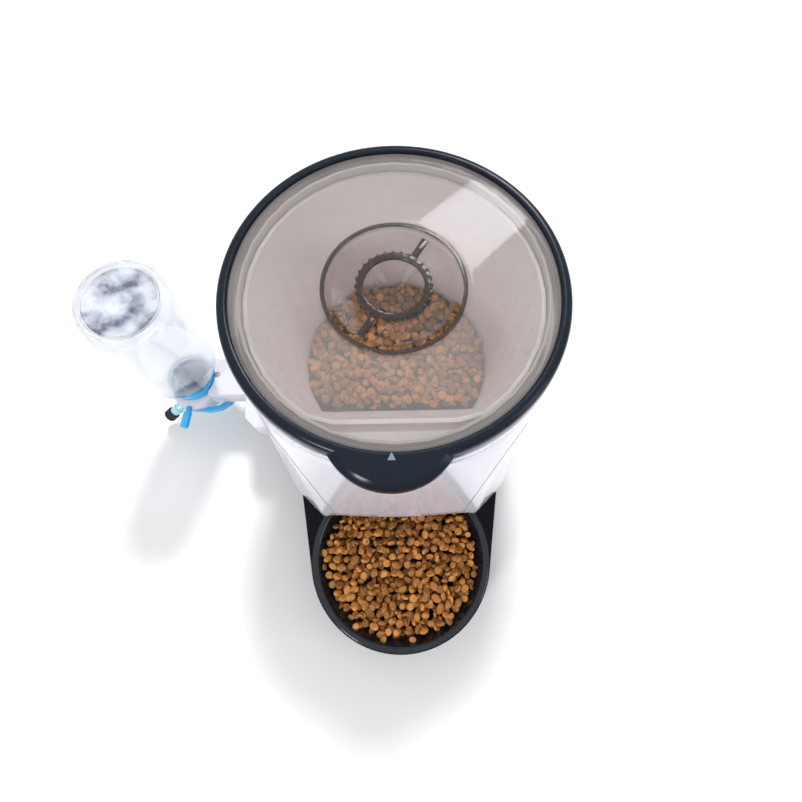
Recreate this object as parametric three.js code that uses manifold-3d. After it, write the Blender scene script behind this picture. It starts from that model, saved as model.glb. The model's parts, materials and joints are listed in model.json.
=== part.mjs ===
// Automatic pet feeder: a round food hopper in a moulded body, a motor-driven rotor that
// drops food down a chute, a lift-out bowl in front and a water bottle on a side bracket.
// Millimetres, +Z up, the bowl towards -Y. Heights are measured from the floor. Plan places
// are measured from the hopper's axis, and the whole group is moved at the end so that the
// origin is the middle of the floor area under the object.

import * as THREE from 'three';
import { mergeVertices } from 'three/addons/utils/BufferGeometryUtils.js';
import { ConvexGeometry } from 'three/addons/geometries/ConvexGeometry.js';
import Module from 'manifold-3d';

// ---- Driving dimensions -------------------------------------------------------------

const GAP = 0.3;                 // between pieces that touch
const ROUND = 32;                // steps round a large circle
const SMALL_ROUND = 12;          // steps round a small circle

// Lid
const LID_RADIUS = 115;
const LID_RISE = 19;             // from the housing's top to the lid ring's upper edge
const LID_RING_WIDTH = 7.2;
const LID_RING_HEIGHT = 14;
const TAB_RADIUS = 43.7;
const TAB_PLACE = { x: -3, y: -87 };    // centre of the tab's curve
const COVER_RISE = 3.9;          // how far the cover is domed
const COVER_THICKNESS = 2.4;
const LUG_ANGLE = 27;            // degrees from the X axis

// Desiccant holder in the middle of the lid
const HOLDER_RADIUS = 44.4;
const HOLDER_FLANGE = 47.4;
const HOLDER_DEPTH = 15;
const HOLDER_WALL = 3.4;
const HUB_RADIUS = 25.3;
const HUB_BORE = 19.8;
const HUB_TEETH = 20;
const BAR_ANGLE = 58;            // degrees from the X axis

// Body
const HOUSING_TOP = 258;
const HOUSING_TOP_RADIUS = 114;
const HOUSING_LOWER_RADIUS = 108;
const HOUSING_WALL = 3;
const COLLAR_RADIUS = 115.5;
const COLLAR_HEIGHT = 4;         // how far the collar stands above the housing's cone
const SHOULDER = { x: 83, y: -80, radius: 15 };
const BROW = { x: 61.5, y: -113.5, radius: 7, height: 104, bulge: 2.6 };
const ARCH_HALF_WIDTH = 63.5;
const ARCH_RISE = 8;
const APRON_HALF_WIDTH = 54;     // front panel's half width at the brow
const APRON_SPREAD = 0.81;       // how fast the panel widens towards the back
const APRON_BACK = -72;          // where the panel ends at the sides

// Base
const FOOT_RADIUS = 9;
const FOOT_HEIGHT = 4;
const BASE_BOTTOM = 3;
const BASE_TOP = 58;
const BASE_RADIUS = 104;
const BASE_WALL = 3;
const PLATE_THICKNESS = 4;
const SCREW_RADIUS = 1.5;

// Bowl
const BOWL_RADIUS = 80;
const BOWL_REACH = 153;          // from the hopper's axis forward to the bowl's axis
const BOWL_DEPTH = 46;
const BOWL_FOOT_RADIUS = 50;
const BOWL_WALL = 1.9;
const BOWL_LIP = 4.2;            // width of the rim that lies on the deck
const BOWL_CLEARANCE = 0.8;

// Hopper
const MOUTH_RADIUS = 97.5;
const MOUTH_FLAT = -85.4;        // the flat front wall, at the mouth
const MOUTH_RISE = 8;            // the mouth's height over the housing's top
const WAIST_RADIUS = 74.4;
const WAIST_FLAT = -41.9;
const WAIST_HEIGHT = 150;
const HOPPER_WALL = 2.2;
const FLANGE_THICKNESS = 2.7;

// Rotor and its chamber
const ROTOR_PLACE = 6;           // the rotor's axis, behind the hopper's
const CHAMBER_RADIUS = 37;
const CHAMBER_FLOOR = 95;
const CHAMBER_TOP = 123.7;
const CHAMBER_WALL = 2.5;
const VANES = 6;
const SHAFT_RADIUS = 3;

// Gears
const MODULE = 1;
const DRIVE_TEETH = 30;
const IDLER_TEETH = 20;
const PINION_TEETH = 10;
const GEAR_BOTTOM = 84;
const GEAR_THICKNESS = 6;
const GEAR_PLAY = 0.25;          // added to each centre distance
const MOTOR_RADIUS = 12;
const MOTOR_LENGTH = 21;

// Batteries: three cells of the D size
const CELL_RADIUS = 16.5;
const CELL_LENGTH = 60;
const CELL_PITCH = 35;
const CELL_FRONT = 13;
const DOOR_TRAVEL = 6;

// Control panel, on the front panel under the lid's tab
const WINDOW = { halfWidth: 20, below: 10, high: 18 };
const BUTTON_RADIUS = 4;
const BUTTON_DROP = 39;          // under the housing's top
const BUTTON_PITCH = 14;

// Water bottle and its bracket
const BOTTLE = { x: -202, y: 22, radius: 38, base: 229 };
const NECK_RADIUS = 18.5;
const NECK_END = 67.5;
const BOTTLE_WALL = 1.2;
const HEAD_WALL = 7;
const HEAD_LOW = 50;
const HEAD_TOP = 66;
const ARM_HALF_WIDTH = 19;
const ARM_TOP = 72;
const DOCK_FACE = -143;
const DOCK = { front: -35, back: 69, low: 62, top: 86, chamfer: 10 };
const BAND_SHIFT = 13.5;
const BAND_LOW = 42;
const VALVE_LOW = 24;
const NOZZLE = { angle: 210, fall: 27, radius: 5, end: 43, height: 41 };
const TIP_RADIUS = 6.6;
const TIP_LENGTH = 8.5;
const TAP = { angle: 261, radius: 4, reach: 21.5, height: 58 };
const STEM = { radius: 6, offset: 5.5, angle: 228, top: 100 };

// ---- Sizes that follow from them ----------------------------------------------------

const LID_TOP = HOUSING_TOP + LID_RISE;
const LID_BOTTOM = LID_TOP - LID_RING_HEIGHT;
const COVER_RADIUS = LID_RADIUS - LID_RING_WIDTH - GAP;
const COVER_EDGE = LID_TOP - COVER_THICKNESS;
const HOUSING_BOTTOM = BASE_TOP + GAP;
const COLLAR_TOP = HOUSING_TOP + COLLAR_HEIGHT;
const MOUTH_HEIGHT = HOUSING_TOP + MOUTH_RISE;
const WINDOW_HIGH = HOUSING_TOP - WINDOW.below;
const WINDOW_LOW = WINDOW_HIGH - WINDOW.high;
const BUTTON_HEIGHT = HOUSING_TOP - BUTTON_DROP;
const BOWL_TOP = BASE_TOP + GAP + 1.7;
const BOWL_BOTTOM = BOWL_TOP - BOWL_DEPTH;
const BASE_FRONT_RADIUS = BOWL_RADIUS + 1;
const CEILING = BROW.height + ARCH_RISE + 1;
const BACK_WALL = -BOWL_REACH + BOWL_RADIUS + 1;
const BOARD_PLACE = -106;
const NECK_BORE = NECK_RADIUS - BOTTLE_WALL;
const COLLAR_BORE = NECK_RADIUS + 0.5;
const COLLAR_OUTER = COLLAR_BORE + 3;
const HEAD_BORE = COLLAR_BORE + 1;
const HEAD_RADIUS = HEAD_BORE + HEAD_WALL;

const FOOT_PLACES = [[-62, 62], [62, 62], [-48, -196], [48, -196]];
const SCREW_PLACES = [[-82, 20], [82, 20], [-78, -100], [78, -100]];

// ---- Solids -------------------------------------------------------------------------

const wasm = await Module();
wasm.setup();

// A closed geometry as a solid that can be joined and cut.
function solid(geometry) {
  const plain = geometry.clone();
  plain.deleteAttribute('normal');
  plain.deleteAttribute('uv');
  const merged = mergeVertices(plain);
  const corners = merged.index.array;
  const triangles = [];
  for (let i = 0; i < corners.length; i += 3) {
    const [a, b, c] = [corners[i], corners[i + 1], corners[i + 2]];
    if (a !== b && b !== c && c !== a) triangles.push(a, b, c);
  }
  return new wasm.Manifold(new wasm.Mesh({
    numProp: 3,
    vertProperties: Float32Array.from(merged.attributes.position.array),
    triVerts: Uint32Array.from(triangles),
  }));
}

function join(first, ...others) {
  return others.reduce((whole, next) => whole.add(next), first);
}

function cut(first, ...others) {
  return others.reduce((whole, next) => whole.subtract(next), first);
}

function common(first, second) {
  return first.intersect(second);
}

function geometryOf(body) {
  const mesh = body.getMesh();
  const geometry = new THREE.BufferGeometry();
  geometry.setAttribute('position', new THREE.BufferAttribute(mesh.vertProperties, 3));
  geometry.setIndex(new THREE.BufferAttribute(mesh.triVerts, 1));
  geometry.computeVertexNormals();
  return geometry;
}

// An upright solid of revolution. The profile is a list of [radius, height] that runs
// anticlockwise and starts and ends on the axis, or closes on itself.
function turned(profile, steps = ROUND, x = 0, y = 0) {
  const points = profile.map(([r, z]) => new THREE.Vector2(r, z));
  const geometry = new THREE.LatheGeometry(points, steps);
  geometry.rotateX(Math.PI / 2);
  geometry.translate(x, y, 0);
  return solid(geometry);
}

function disc(radius, low, high, x = 0, y = 0, steps = SMALL_ROUND) {
  const geometry = new THREE.CylinderGeometry(radius, radius, high - low, steps);
  geometry.rotateX(Math.PI / 2);
  geometry.translate(x, y, (low + high) / 2);
  return solid(geometry);
}

function ring(outer, inner, low, high, x = 0, y = 0, steps = ROUND) {
  const profile = [[inner, low], [outer, low], [outer, high], [inner, high], [inner, low]];
  return turned(profile, steps, x, y);
}

function block(x0, x1, y0, y1, z0, z1) {
  const geometry = new THREE.BoxGeometry(x1 - x0, y1 - y0, z1 - z0);
  geometry.translate((x0 + x1) / 2, (y0 + y1) / 2, (z0 + z1) / 2);
  return solid(geometry);
}

function prism(shape, low, high, curveSegments = 16) {
  const geometry = new THREE.ExtrudeGeometry(shape, {
    depth: high - low,
    bevelEnabled: false,
    curveSegments,
  });
  geometry.translate(0, 0, low);
  return solid(geometry);
}

// A prism that runs along X, from an outline given as [y, z] points.
function sidePrism(outline, halfWidth) {
  const shape = new THREE.Shape(outline.map(([y, z]) => new THREE.Vector2(y, z)));
  const geometry = new THREE.ExtrudeGeometry(shape, { depth: 2 * halfWidth, bevelEnabled: false });
  geometry.rotateX(Math.PI / 2);
  geometry.rotateZ(Math.PI / 2);
  geometry.translate(-halfWidth, 0, 0);
  return solid(geometry);
}

function circlePoints(radius, height, x = 0, y = 0, steps = ROUND) {
  const points = [];
  for (let i = 0; i < steps; i += 1) {
    const angle = (2 * Math.PI * i) / steps;
    points.push(new THREE.Vector3(
      x + radius * Math.cos(angle), y + radius * Math.sin(angle), height));
  }
  return points;
}

function hull(points) {
  return solid(new ConvexGeometry(points));
}

// Moves a solid that was made along +Z so that it lies along a radius: it starts at the
// axis of (x, y), at a height, points to an angle in plan and falls by some degrees.
function laidOut(body, x, y, height, angle, fall = 0) {
  const turn = new THREE.Matrix4().makeRotationZ(THREE.MathUtils.degToRad(angle));
  const tilt = new THREE.Matrix4().makeRotationY(THREE.MathUtils.degToRad(90 + fall));
  const place = new THREE.Matrix4().makeTranslation(x, y, height);
  return body.transform(place.multiply(turn).multiply(tilt).elements);
}

// ---- The group ----------------------------------------------------------------------

const feeder = new THREE.Group();

function add(name, body, color, roughness = 0.4, metalness = 0) {
  const material = new THREE.MeshStandardMaterial({ color, roughness, metalness });
  const mesh = new THREE.Mesh(geometryOf(body), material);
  mesh.name = name;
  feeder.add(mesh);
}

const WHITE = 0xf2f2f5;
const NAVY = 0x1b2230;
const BLACK = 0x111318;
const SMOKE = 0x8d8785;
const MILK = 0xd9d7d8;
const CLEAR = 0xe8f2f8;
const SKY = 0x38a8e0;
const STEEL = 0xb9bcc0;
const BRASS = 0xc8a050;
const GREEN = 0x1f6b3c;
const GEAR_COLOR = 0xe6e2d6;

// ---- Base ---------------------------------------------------------------------------

// Plan outline of the base: the hopper's circle and the bowl's, joined by tangents.
function teardrop(inset) {
  const rear = BASE_RADIUS - inset;
  const front = BASE_FRONT_RADIUS - inset;
  const lean = Math.asin((rear - front) / BOWL_REACH);
  const shape = new THREE.Shape();
  shape.absarc(0, 0, rear, -lean, Math.PI + lean, false);
  shape.absarc(0, -BOWL_REACH, front, Math.PI + lean, 2 * Math.PI - lean, false);
  return shape;
}

// The bowl's outer form, grown by a margin. It sits in the base and cuts its recess.
function bowlForm(margin, top) {
  const bottom = BOWL_BOTTOM - margin;
  const lip = BOWL_RADIUS - BOWL_LIP + margin;
  const foot = BOWL_FOOT_RADIUS - 2 + margin;
  const profile = [[0, bottom], [foot, bottom], [foot + 2, bottom + 2], [lip, BASE_TOP - 1],
    [lip, top], [0, top]];
  return turned(profile, ROUND, 0, -BOWL_REACH);
}

function baseShell() {
  const cavity = cut(
    prism(teardrop(BASE_WALL), BASE_BOTTOM - 1, BASE_TOP - BASE_WALL),
    bowlForm(BOWL_CLEARANCE + BASE_WALL, BASE_TOP));
  const shell = cut(
    prism(teardrop(0), BASE_BOTTOM, BASE_TOP),
    cavity,
    bowlForm(BOWL_CLEARANCE, BASE_TOP + 5),
    block(-56, 56, -4, 80, BASE_TOP - 10, BASE_TOP + 1),
    laidOut(disc(6, 90, 120), 0, 0, 22, 90));
  const bossLow = BASE_BOTTOM + PLATE_THICKNESS + GAP;
  const bosses = SCREW_PLACES.map(([x, y]) => disc(4, bossLow, BASE_TOP - 1, x, y));
  const pilots = SCREW_PLACES.map(([x, y]) => disc(SCREW_RADIUS + GAP, bossLow - 1, 22, x, y));
  return cut(join(shell, ...bosses), ...pilots);
}

const DOOR_OPENING = { halfWidth: 50, front: 14, back: 14 + 58 + DOOR_TRAVEL + 2 * GAP };

function basePlate() {
  const top = BASE_BOTTOM + PLATE_THICKNESS;
  const opening = DOOR_OPENING;
  const recesses = FOOT_PLACES.map(([x, y]) =>
    disc(FOOT_RADIUS + GAP, 0, FOOT_HEIGHT + GAP, x, y));
  const heads = SCREW_PLACES.map(([x, y]) => disc(3.3, 0, BASE_BOTTOM + 2.4, x, y));
  const holes = SCREW_PLACES.map(([x, y]) => disc(SCREW_RADIUS + GAP, 0, top + 1, x, y));
  const door = block(-opening.halfWidth, opening.halfWidth, opening.front, opening.back,
    BASE_BOTTOM - 1, top + 1);
  return cut(prism(teardrop(BASE_WALL + GAP), BASE_BOTTOM, top), ...recesses, ...heads,
    ...holes, door);
}

function baseScrew(x, y) {
  const head = BASE_BOTTOM + 0.3;
  return turned([[0, head], [3, head], [3, head + 1.8], [SCREW_RADIUS, head + 1.8],
    [SCREW_RADIUS, 20], [0, 21]], 16, x, y);
}

function foot(x, y) {
  return turned([[0, 0], [FOOT_RADIUS - 1, 0], [FOOT_RADIUS, 1], [FOOT_RADIUS, FOOT_HEIGHT],
    [0, FOOT_HEIGHT]], SMALL_ROUND, x, y);
}

function batteryDoor() {
  const opening = DOOR_OPENING;
  const front = opening.front + GAP;
  const top = BASE_BOTTOM + PLATE_THICKNESS;
  const back = front + 58;
  const leaf = block(-opening.halfWidth + GAP, opening.halfWidth - GAP, front, back,
    BASE_BOTTOM + GAP, top - GAP);
  const tongues = [-24, 24].map((x) => join(
    block(x - 5, x + 5, front, front + 3, top - 1, top + 1.6),
    block(x - 5, x + 5, front - 4, front + 3, top + GAP, top + 1.6)));
  const grips = [0, 1, 2, 3].map((i) =>
    block(-14, 14, back - 6 - 4 * i, back - 4.4 - 4 * i, BASE_BOTTOM, BASE_BOTTOM + 1));
  return cut(join(leaf, ...tongues), ...grips);
}

function batteryCase() {
  const low = BASE_BOTTOM + PLATE_THICKNESS + GAP;
  const half = 1.5 * CELL_PITCH + 1;
  const front = CELL_FRONT - 3;
  const back = CELL_FRONT + CELL_LENGTH + 6;
  const top = low + 2 * CELL_RADIUS + 4;
  return cut(
    block(-half - 2, half + 2, front - 2, back + 2, low, top + 2),
    block(-half, half, front, back, low - 1, top));
}

function cell(index) {
  const nub = 2;
  const body = turned([[0, 0], [CELL_RADIUS, 0], [CELL_RADIUS, CELL_LENGTH - nub],
    [5, CELL_LENGTH - nub], [5, CELL_LENGTH], [0, CELL_LENGTH]], SMALL_ROUND);
  const height = BASE_BOTTOM + PLATE_THICKNESS + 2.5 + CELL_RADIUS;
  return laidOut(body, (index - 1) * CELL_PITCH, CELL_FRONT, height, 90);
}

FOOT_PLACES.forEach(([x, y], i) => add(`foot_${i + 1}`, foot(x, y), BLACK, 0.9));
SCREW_PLACES.forEach(([x, y], i) => add(`base_screw_${i + 1}`, baseScrew(x, y), STEEL, 0.35, 1));
add('base_shell', baseShell(), BLACK, 0.35);
add('base_plate', basePlate(), BLACK, 0.6);
add('battery_door', batteryDoor(), BLACK, 0.6);
add('battery_case', batteryCase(), BLACK, 0.6);
for (let i = 0; i < 3; i += 1) add(`battery_${i + 1}`, cell(i), BRASS, 0.35, 0.8);

// The power socket: a barrel through the back wall with a flange outside.
function powerSocket() {
  const inner = BASE_RADIUS - BASE_WALL - 12;
  const face = BASE_RADIUS + 2;
  const body = turned([[0, inner], [5.7, inner], [5.7, BASE_RADIUS + GAP],
    [8, BASE_RADIUS + GAP], [8, face], [3.4, face], [3.4, inner + 3], [0, inner + 3]],
  SMALL_ROUND);
  return laidOut(body, 0, 0, 22, 90);
}

add('power_socket', powerSocket(), BLACK, 0.5);

// ---- Bowl ---------------------------------------------------------------------------

function bowl() {
  const under = BASE_TOP + GAP;
  const lip = BOWL_RADIUS - BOWL_LIP;
  const floor = BOWL_BOTTOM + BOWL_WALL + 0.6;
  return turned([
    [0, BOWL_BOTTOM], [BOWL_FOOT_RADIUS - 2, BOWL_BOTTOM],
    [BOWL_FOOT_RADIUS, BOWL_BOTTOM + 2], [lip, under - 1], [lip, under],
    [BOWL_RADIUS, under], [BOWL_RADIUS, BOWL_TOP - 0.6], [BOWL_RADIUS - 1, BOWL_TOP],
    [lip - 0.6, BOWL_TOP], [lip - BOWL_WALL, BOWL_TOP - 1.2],
    [BOWL_FOOT_RADIUS - BOWL_WALL, floor + 2], [BOWL_FOOT_RADIUS - 5, floor], [0, floor],
  ], ROUND, 0, -BOWL_REACH);
}

add('bowl', bowl(), NAVY, 0.2);

// ---- Housing ------------------------------------------------------------------------

// The body's convex form, drawn in by an inset. The upper circle, the lower circle, two
// shoulders and the two corners of the brow over the bowl span it. An overrun lengthens it
// past the housing's open top and underside.
function bodyForm(inset, overrun = 0) {
  const low = HOUSING_BOTTOM - overrun;
  const brow = overrun > 0 ? low : BROW.height;
  const points = [
    ...circlePoints(HOUSING_TOP_RADIUS - inset, HOUSING_TOP + overrun),
    ...circlePoints(HOUSING_LOWER_RADIUS - inset, low),
  ];
  for (const share of [-0.6, -0.3, 0, 0.3, 0.6]) {
    const y = BROW.y - BROW.radius + inset - BROW.bulge * (1 - share ** 2);
    points.push(new THREE.Vector3(share * BROW.x, y, brow));
  }
  for (const side of [-1, 1]) {
    points.push(
      ...circlePoints(SHOULDER.radius - inset, low, side * SHOULDER.x, SHOULDER.y, SMALL_ROUND),
      ...circlePoints(BROW.radius - inset, brow, side * BROW.x, BROW.y, SMALL_ROUND));
  }
  return hull(points);
}

// The arched lower edge of the brow, as a solid that cuts it.
function archCutter() {
  const springing = BROW.height - 4;
  const crown = BROW.height + ARCH_RISE;
  const shape = new THREE.Shape();
  shape.moveTo(-ARCH_HALF_WIDTH, springing - 60);
  shape.lineTo(ARCH_HALF_WIDTH, springing - 60);
  shape.lineTo(ARCH_HALF_WIDTH, springing);
  shape.quadraticCurveTo(ARCH_HALF_WIDTH - 2, crown, ARCH_HALF_WIDTH - 20, crown);
  shape.quadraticCurveTo(0, crown - 5, -ARCH_HALF_WIDTH + 20, crown);
  shape.quadraticCurveTo(-ARCH_HALF_WIDTH + 2, crown, -ARCH_HALF_WIDTH, springing);
  const geometry = new THREE.ExtrudeGeometry(shape, {
    depth: 60, bevelEnabled: false, curveSegments: 8,
  });
  geometry.rotateX(Math.PI / 2);
  geometry.translate(0, BACK_WALL - 20, 0);
  return solid(geometry);
}

// The wedge of the front panel, between two upright planes that spread towards the back.
function apronWedge(margin, top) {
  const front = -150;
  const back = APRON_BACK;
  const halfAt = (y) => APRON_HALF_WIDTH + APRON_SPREAD * (y + 120) + margin;
  const shape = new THREE.Shape();
  shape.moveTo(-halfAt(front), front);
  shape.lineTo(halfAt(front), front);
  shape.lineTo(halfAt(back), back);
  shape.lineTo(-halfAt(back), back);
  return prism(shape, BASE_TOP - 20, top);
}

const APRON_TOP = HOUSING_TOP - 8;
const bodyShell = cut(bodyForm(0), bodyForm(HOUSING_WALL, 20), archCutter());

function housing() {
  const collar = ring(COLLAR_RADIUS, HOUSING_TOP_RADIUS - HOUSING_WALL + GAP,
    HOUSING_TOP - 6, COLLAR_TOP);
  const ledge = ring(HOUSING_TOP_RADIUS - 2, MOUTH_RADIUS + HOPPER_WALL + 7,
    HOUSING_TOP - 4, HOUSING_TOP);
  const notch = bodyForm(HOUSING_WALL - 0.5, 20);
  const upper = join(collar, ledge);
  const walls = cut(bodyShell, apronWedge(GAP, APRON_TOP + GAP));
  return join(walls, common(upper, join(notch, collar)));
}

function frontPanel() {
  const panel = common(bodyShell, apronWedge(0, APRON_TOP));
  const display = block(-WINDOW.halfWidth - GAP, WINDOW.halfWidth + GAP, -130, -100,
    WINDOW_LOW - GAP, WINDOW_HIGH + GAP);
  const holes = [-1, 0, 1].map((i) =>
    laidOut(disc(BUTTON_RADIUS + GAP, 95, 130), i * BUTTON_PITCH, 0, BUTTON_HEIGHT, -90));
  return cut(panel, display, ...holes);
}

// The body's front face leans: its distance forward of the axis at a height.
function faceAt(height) {
  const low = -BROW.y + BROW.radius + BROW.bulge;
  const share = (height - BROW.height) / (HOUSING_TOP - BROW.height);
  return low + (HOUSING_TOP_RADIUS - low) * share;
}

function displayWindow() {
  const lowFace = faceAt(WINDOW_LOW);
  return block(-WINDOW.halfWidth, WINDOW.halfWidth, -lowFace - 0.2, -lowFace + 4.5,
    WINDOW_LOW, WINDOW_HIGH);
}

function button(index) {
  const face = faceAt(BUTTON_HEIGHT);
  const back = face - HOUSING_WALL - 3;
  const body = turned([[0, back], [BUTTON_RADIUS - 1, back], [BUTTON_RADIUS - 1, face - 3],
    [BUTTON_RADIUS, face - 3], [BUTTON_RADIUS, face + 1.2], [BUTTON_RADIUS - 0.8, face + 2],
    [0, face + 2]], 20);
  return laidOut(body, index * BUTTON_PITCH, 0, BUTTON_HEIGHT, -90);
}

add('housing', housing(), WHITE, 0.2);
add('front_panel', frontPanel(), WHITE, 0.2);
add('display_window', displayWindow(), BLACK, 0.1);
add('button_left', button(-1), MILK, 0.4);
add('button_middle', button(0), MILK, 0.4);
add('button_right', button(1), MILK, 0.4);

// The control board stands behind the front panel, with a row of switches behind the
// buttons and a plug block on its other side.
function controlBoard() {
  const board = block(-32, 32, BOARD_PLACE - 1.6, BOARD_PLACE, 206, 250);
  const plug = block(8, 24, BOARD_PLACE - 0.5, BOARD_PLACE + 5, 208, 215);
  const chip = block(-20, -6, BOARD_PLACE - 0.5, BOARD_PLACE + 1.4, 212, 226);
  return join(board, plug, chip);
}

function speaker() {
  const body = turned([[0, 0], [14, 0], [14, 3], [9, 8], [0, 8]], SMALL_ROUND);
  return laidOut(body, 0, -faceAt(170) + HOUSING_WALL + 5, 170, 90);
}

add('control_board', controlBoard(), GREEN, 0.5);
add('speaker', speaker(), BLACK, 0.6);

// ---- Hopper -------------------------------------------------------------------------

// A circle with a flat front: points of one level of the hopper.
function levelPoints(radius, flat, height) {
  return circlePoints(radius, height).map((point) =>
    new THREE.Vector3(point.x, Math.max(point.y, flat), point.z));
}

function hopperForm(grow, overrun) {
  const upper = hull([
    ...levelPoints(MOUTH_RADIUS + grow, MOUTH_FLAT - grow, MOUTH_HEIGHT + overrun),
    ...levelPoints(WAIST_RADIUS + grow, WAIST_FLAT - grow, WAIST_HEIGHT),
  ]);
  const throat = CHAMBER_TOP + GAP - overrun;
  const lower = hull([
    ...levelPoints(WAIST_RADIUS + grow, WAIST_FLAT - grow, WAIST_HEIGHT + 0.01),
    ...circlePoints(CHAMBER_RADIUS - 1 + grow, throat, 0, ROTOR_PLACE),
  ]);
  return join(upper, lower);
}

function hopper() {
  const flangeLow = HOUSING_TOP + GAP;
  const flange = disc(HOUSING_TOP_RADIUS - HOUSING_WALL - GAP, flangeLow,
    flangeLow + FLANGE_THICKNESS, 0, 0, ROUND);
  const seat = disc(CHAMBER_RADIUS + 7, CHAMBER_TOP + GAP, CHAMBER_TOP + GAP + 2.4,
    0, ROTOR_PLACE, ROUND);
  return cut(join(hopperForm(HOPPER_WALL, 0), flange, seat), hopperForm(0, 2));
}

add('hopper', hopper(), MILK, 0.35);

// ---- Rotor, chamber and chute -------------------------------------------------------

const OUTLET = { halfWidth: 16, back: -14, front: -31 };

function rotorChamber() {
  const outer = CHAMBER_RADIUS + CHAMBER_WALL;
  const cup = turned([
    [SHAFT_RADIUS + GAP, CHAMBER_FLOOR], [outer, CHAMBER_FLOOR], [outer, CHAMBER_TOP - 2.6],
    [outer + 4.5, CHAMBER_TOP - 2.6], [outer + 4.5, CHAMBER_TOP], [CHAMBER_RADIUS, CHAMBER_TOP],
    [CHAMBER_RADIUS, CHAMBER_FLOOR + 3], [SHAFT_RADIUS + GAP, CHAMBER_FLOOR + 3],
    [SHAFT_RADIUS + GAP, CHAMBER_FLOOR],
  ], ROUND, 0, ROTOR_PLACE);
  const outlet = block(-OUTLET.halfWidth, OUTLET.halfWidth, OUTLET.front, OUTLET.back,
    CHAMBER_FLOOR - 1, CHAMBER_FLOOR + 3.2);
  return cut(cup, common(outlet, disc(CHAMBER_RADIUS, 0, 200, 0, ROTOR_PLACE, ROUND)));
}

const ROTOR_LOW = CHAMBER_FLOOR + 3 + GAP;

function rotor() {
  const top = CHAMBER_TOP - 2;
  const hub = ring(9, SHAFT_RADIUS + GAP, ROTOR_LOW, top, 0, ROTOR_PLACE, SMALL_ROUND);
  const vanes = [];
  for (let i = 0; i < VANES; i += 1) {
    const vane = block(7, CHAMBER_RADIUS - 1, -1, 1, ROTOR_LOW, top);
    vanes.push(vane.rotate([0, 0, (360 * i) / VANES + 30]).translate([0, ROTOR_PLACE, 0]));
  }
  return join(hub, ...vanes);
}

function rotorShaft() {
  const top = CHAMBER_TOP + 6;
  return turned([[0, GEAR_BOTTOM - 4], [SHAFT_RADIUS, GEAR_BOTTOM - 4], [SHAFT_RADIUS, top - 1],
    [SHAFT_RADIUS - 1, top], [0, top]], SMALL_ROUND, 0, ROTOR_PLACE);
}

// The stirrer keeps the food from bridging above the rotor.
function agitator() {
  const low = CHAMBER_TOP - 2 + GAP;
  const boss = ring(7, SHAFT_RADIUS + GAP, low, low + 9, 0, ROTOR_PLACE, SMALL_ROUND);
  const arms = [0, 120, 240].map((angle) =>
    block(5, 29, -1.6, 1.6, low + 1.5, low + 6).rotate([0, 0, angle])
      .translate([0, ROTOR_PLACE, 0]));
  return join(boss, ...arms);
}

add('rotor_chamber', rotorChamber(), MILK, 0.5);
add('rotor', rotor(), SKY, 0.7);
add('rotor_shaft', rotorShaft(), STEEL, 0.3, 1);
add('agitator', agitator(), MILK, 0.5);

function chute() {
  const top = CHAMBER_FLOOR - GAP;
  const end = BACK_WALL + 0.5;
  const back = OUTLET.back;
  const front = OUTLET.front - 1;
  const outer = [[back + 2, top], [back + 2, 83], [end, 61.5], [end, 84], [front - 1.5, top]];
  const inner = [[back, top + 1], [back, 84.6], [end - 1, 63.3], [end - 1, 82],
    [front, 93.2], [front, top + 1]];
  return cut(sidePrism(outer, OUTLET.halfWidth + 3), sidePrism(inner, OUTLET.halfWidth + 1));
}

// The dark lining of the mouth over the bowl: a back wall with a window for the chute and a
// ceiling that reaches forward to the brow.
function mouthLining() {
  const wall = block(-120, 120, BACK_WALL, BACK_WALL + 2.5, HOUSING_BOTTOM, CEILING + 2.5);
  const roof = block(-120, 120, BROW.y - 20, BACK_WALL + 2.5, CEILING, CEILING + 2.5);
  const window = block(-OUTLET.halfWidth - 3 - GAP, OUTLET.halfWidth + 3 + GAP,
    BACK_WALL - 1, BACK_WALL + 4, 61.5 - GAP, 84 + 2 * GAP);
  return cut(common(join(wall, roof), bodyForm(HOUSING_WALL + GAP, 20)), window);
}

add('chute', chute(), BLACK, 0.4);
add('mouth_lining', mouthLining(), BLACK, 0.4);

// ---- Gears and motor ----------------------------------------------------------------

// A spur gear with straight-sided teeth, slimmer than half the pitch for running clearance.
function spurGear(teeth, bore, low, high) {
  const pitch = (MODULE * teeth) / 2;
  const tip = pitch + 0.9 * MODULE;
  const root = pitch - 1.2 * MODULE;
  const step = (2 * Math.PI) / teeth;
  const shape = new THREE.Shape();
  for (let i = 0; i < teeth; i += 1) {
    const corners = [[root, -0.34], [tip, -0.13], [tip, 0.13], [root, 0.34]];
    corners.forEach(([radius, share], k) => {
      const angle = step * (i + share);
      const [x, y] = [radius * Math.cos(angle), radius * Math.sin(angle)];
      if (i === 0 && k === 0) shape.moveTo(x, y);
      else shape.lineTo(x, y);
    });
  }
  const hole = new THREE.Path();
  hole.absarc(0, 0, bore, 0, 2 * Math.PI, true);
  shape.holes.push(hole);
  return prism(shape, low, high, 12);
}

const IDLER_ANGLE = 0;
const PINION_ANGLE = 60;
const idlerDistance = (MODULE * (DRIVE_TEETH + IDLER_TEETH)) / 2 + GEAR_PLAY;
const pinionDistance = (MODULE * (IDLER_TEETH + PINION_TEETH)) / 2 + GEAR_PLAY;

function polar(distance, degrees) {
  const angle = THREE.MathUtils.degToRad(degrees);
  return [distance * Math.cos(angle), distance * Math.sin(angle)];
}

const [idlerX, idlerShift] = polar(idlerDistance, IDLER_ANGLE);
const idlerY = ROTOR_PLACE + idlerShift;
const [pinionShiftX, pinionShiftY] = polar(pinionDistance, PINION_ANGLE);
const pinionX = idlerX + pinionShiftX;
const pinionY = idlerY + pinionShiftY;

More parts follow.
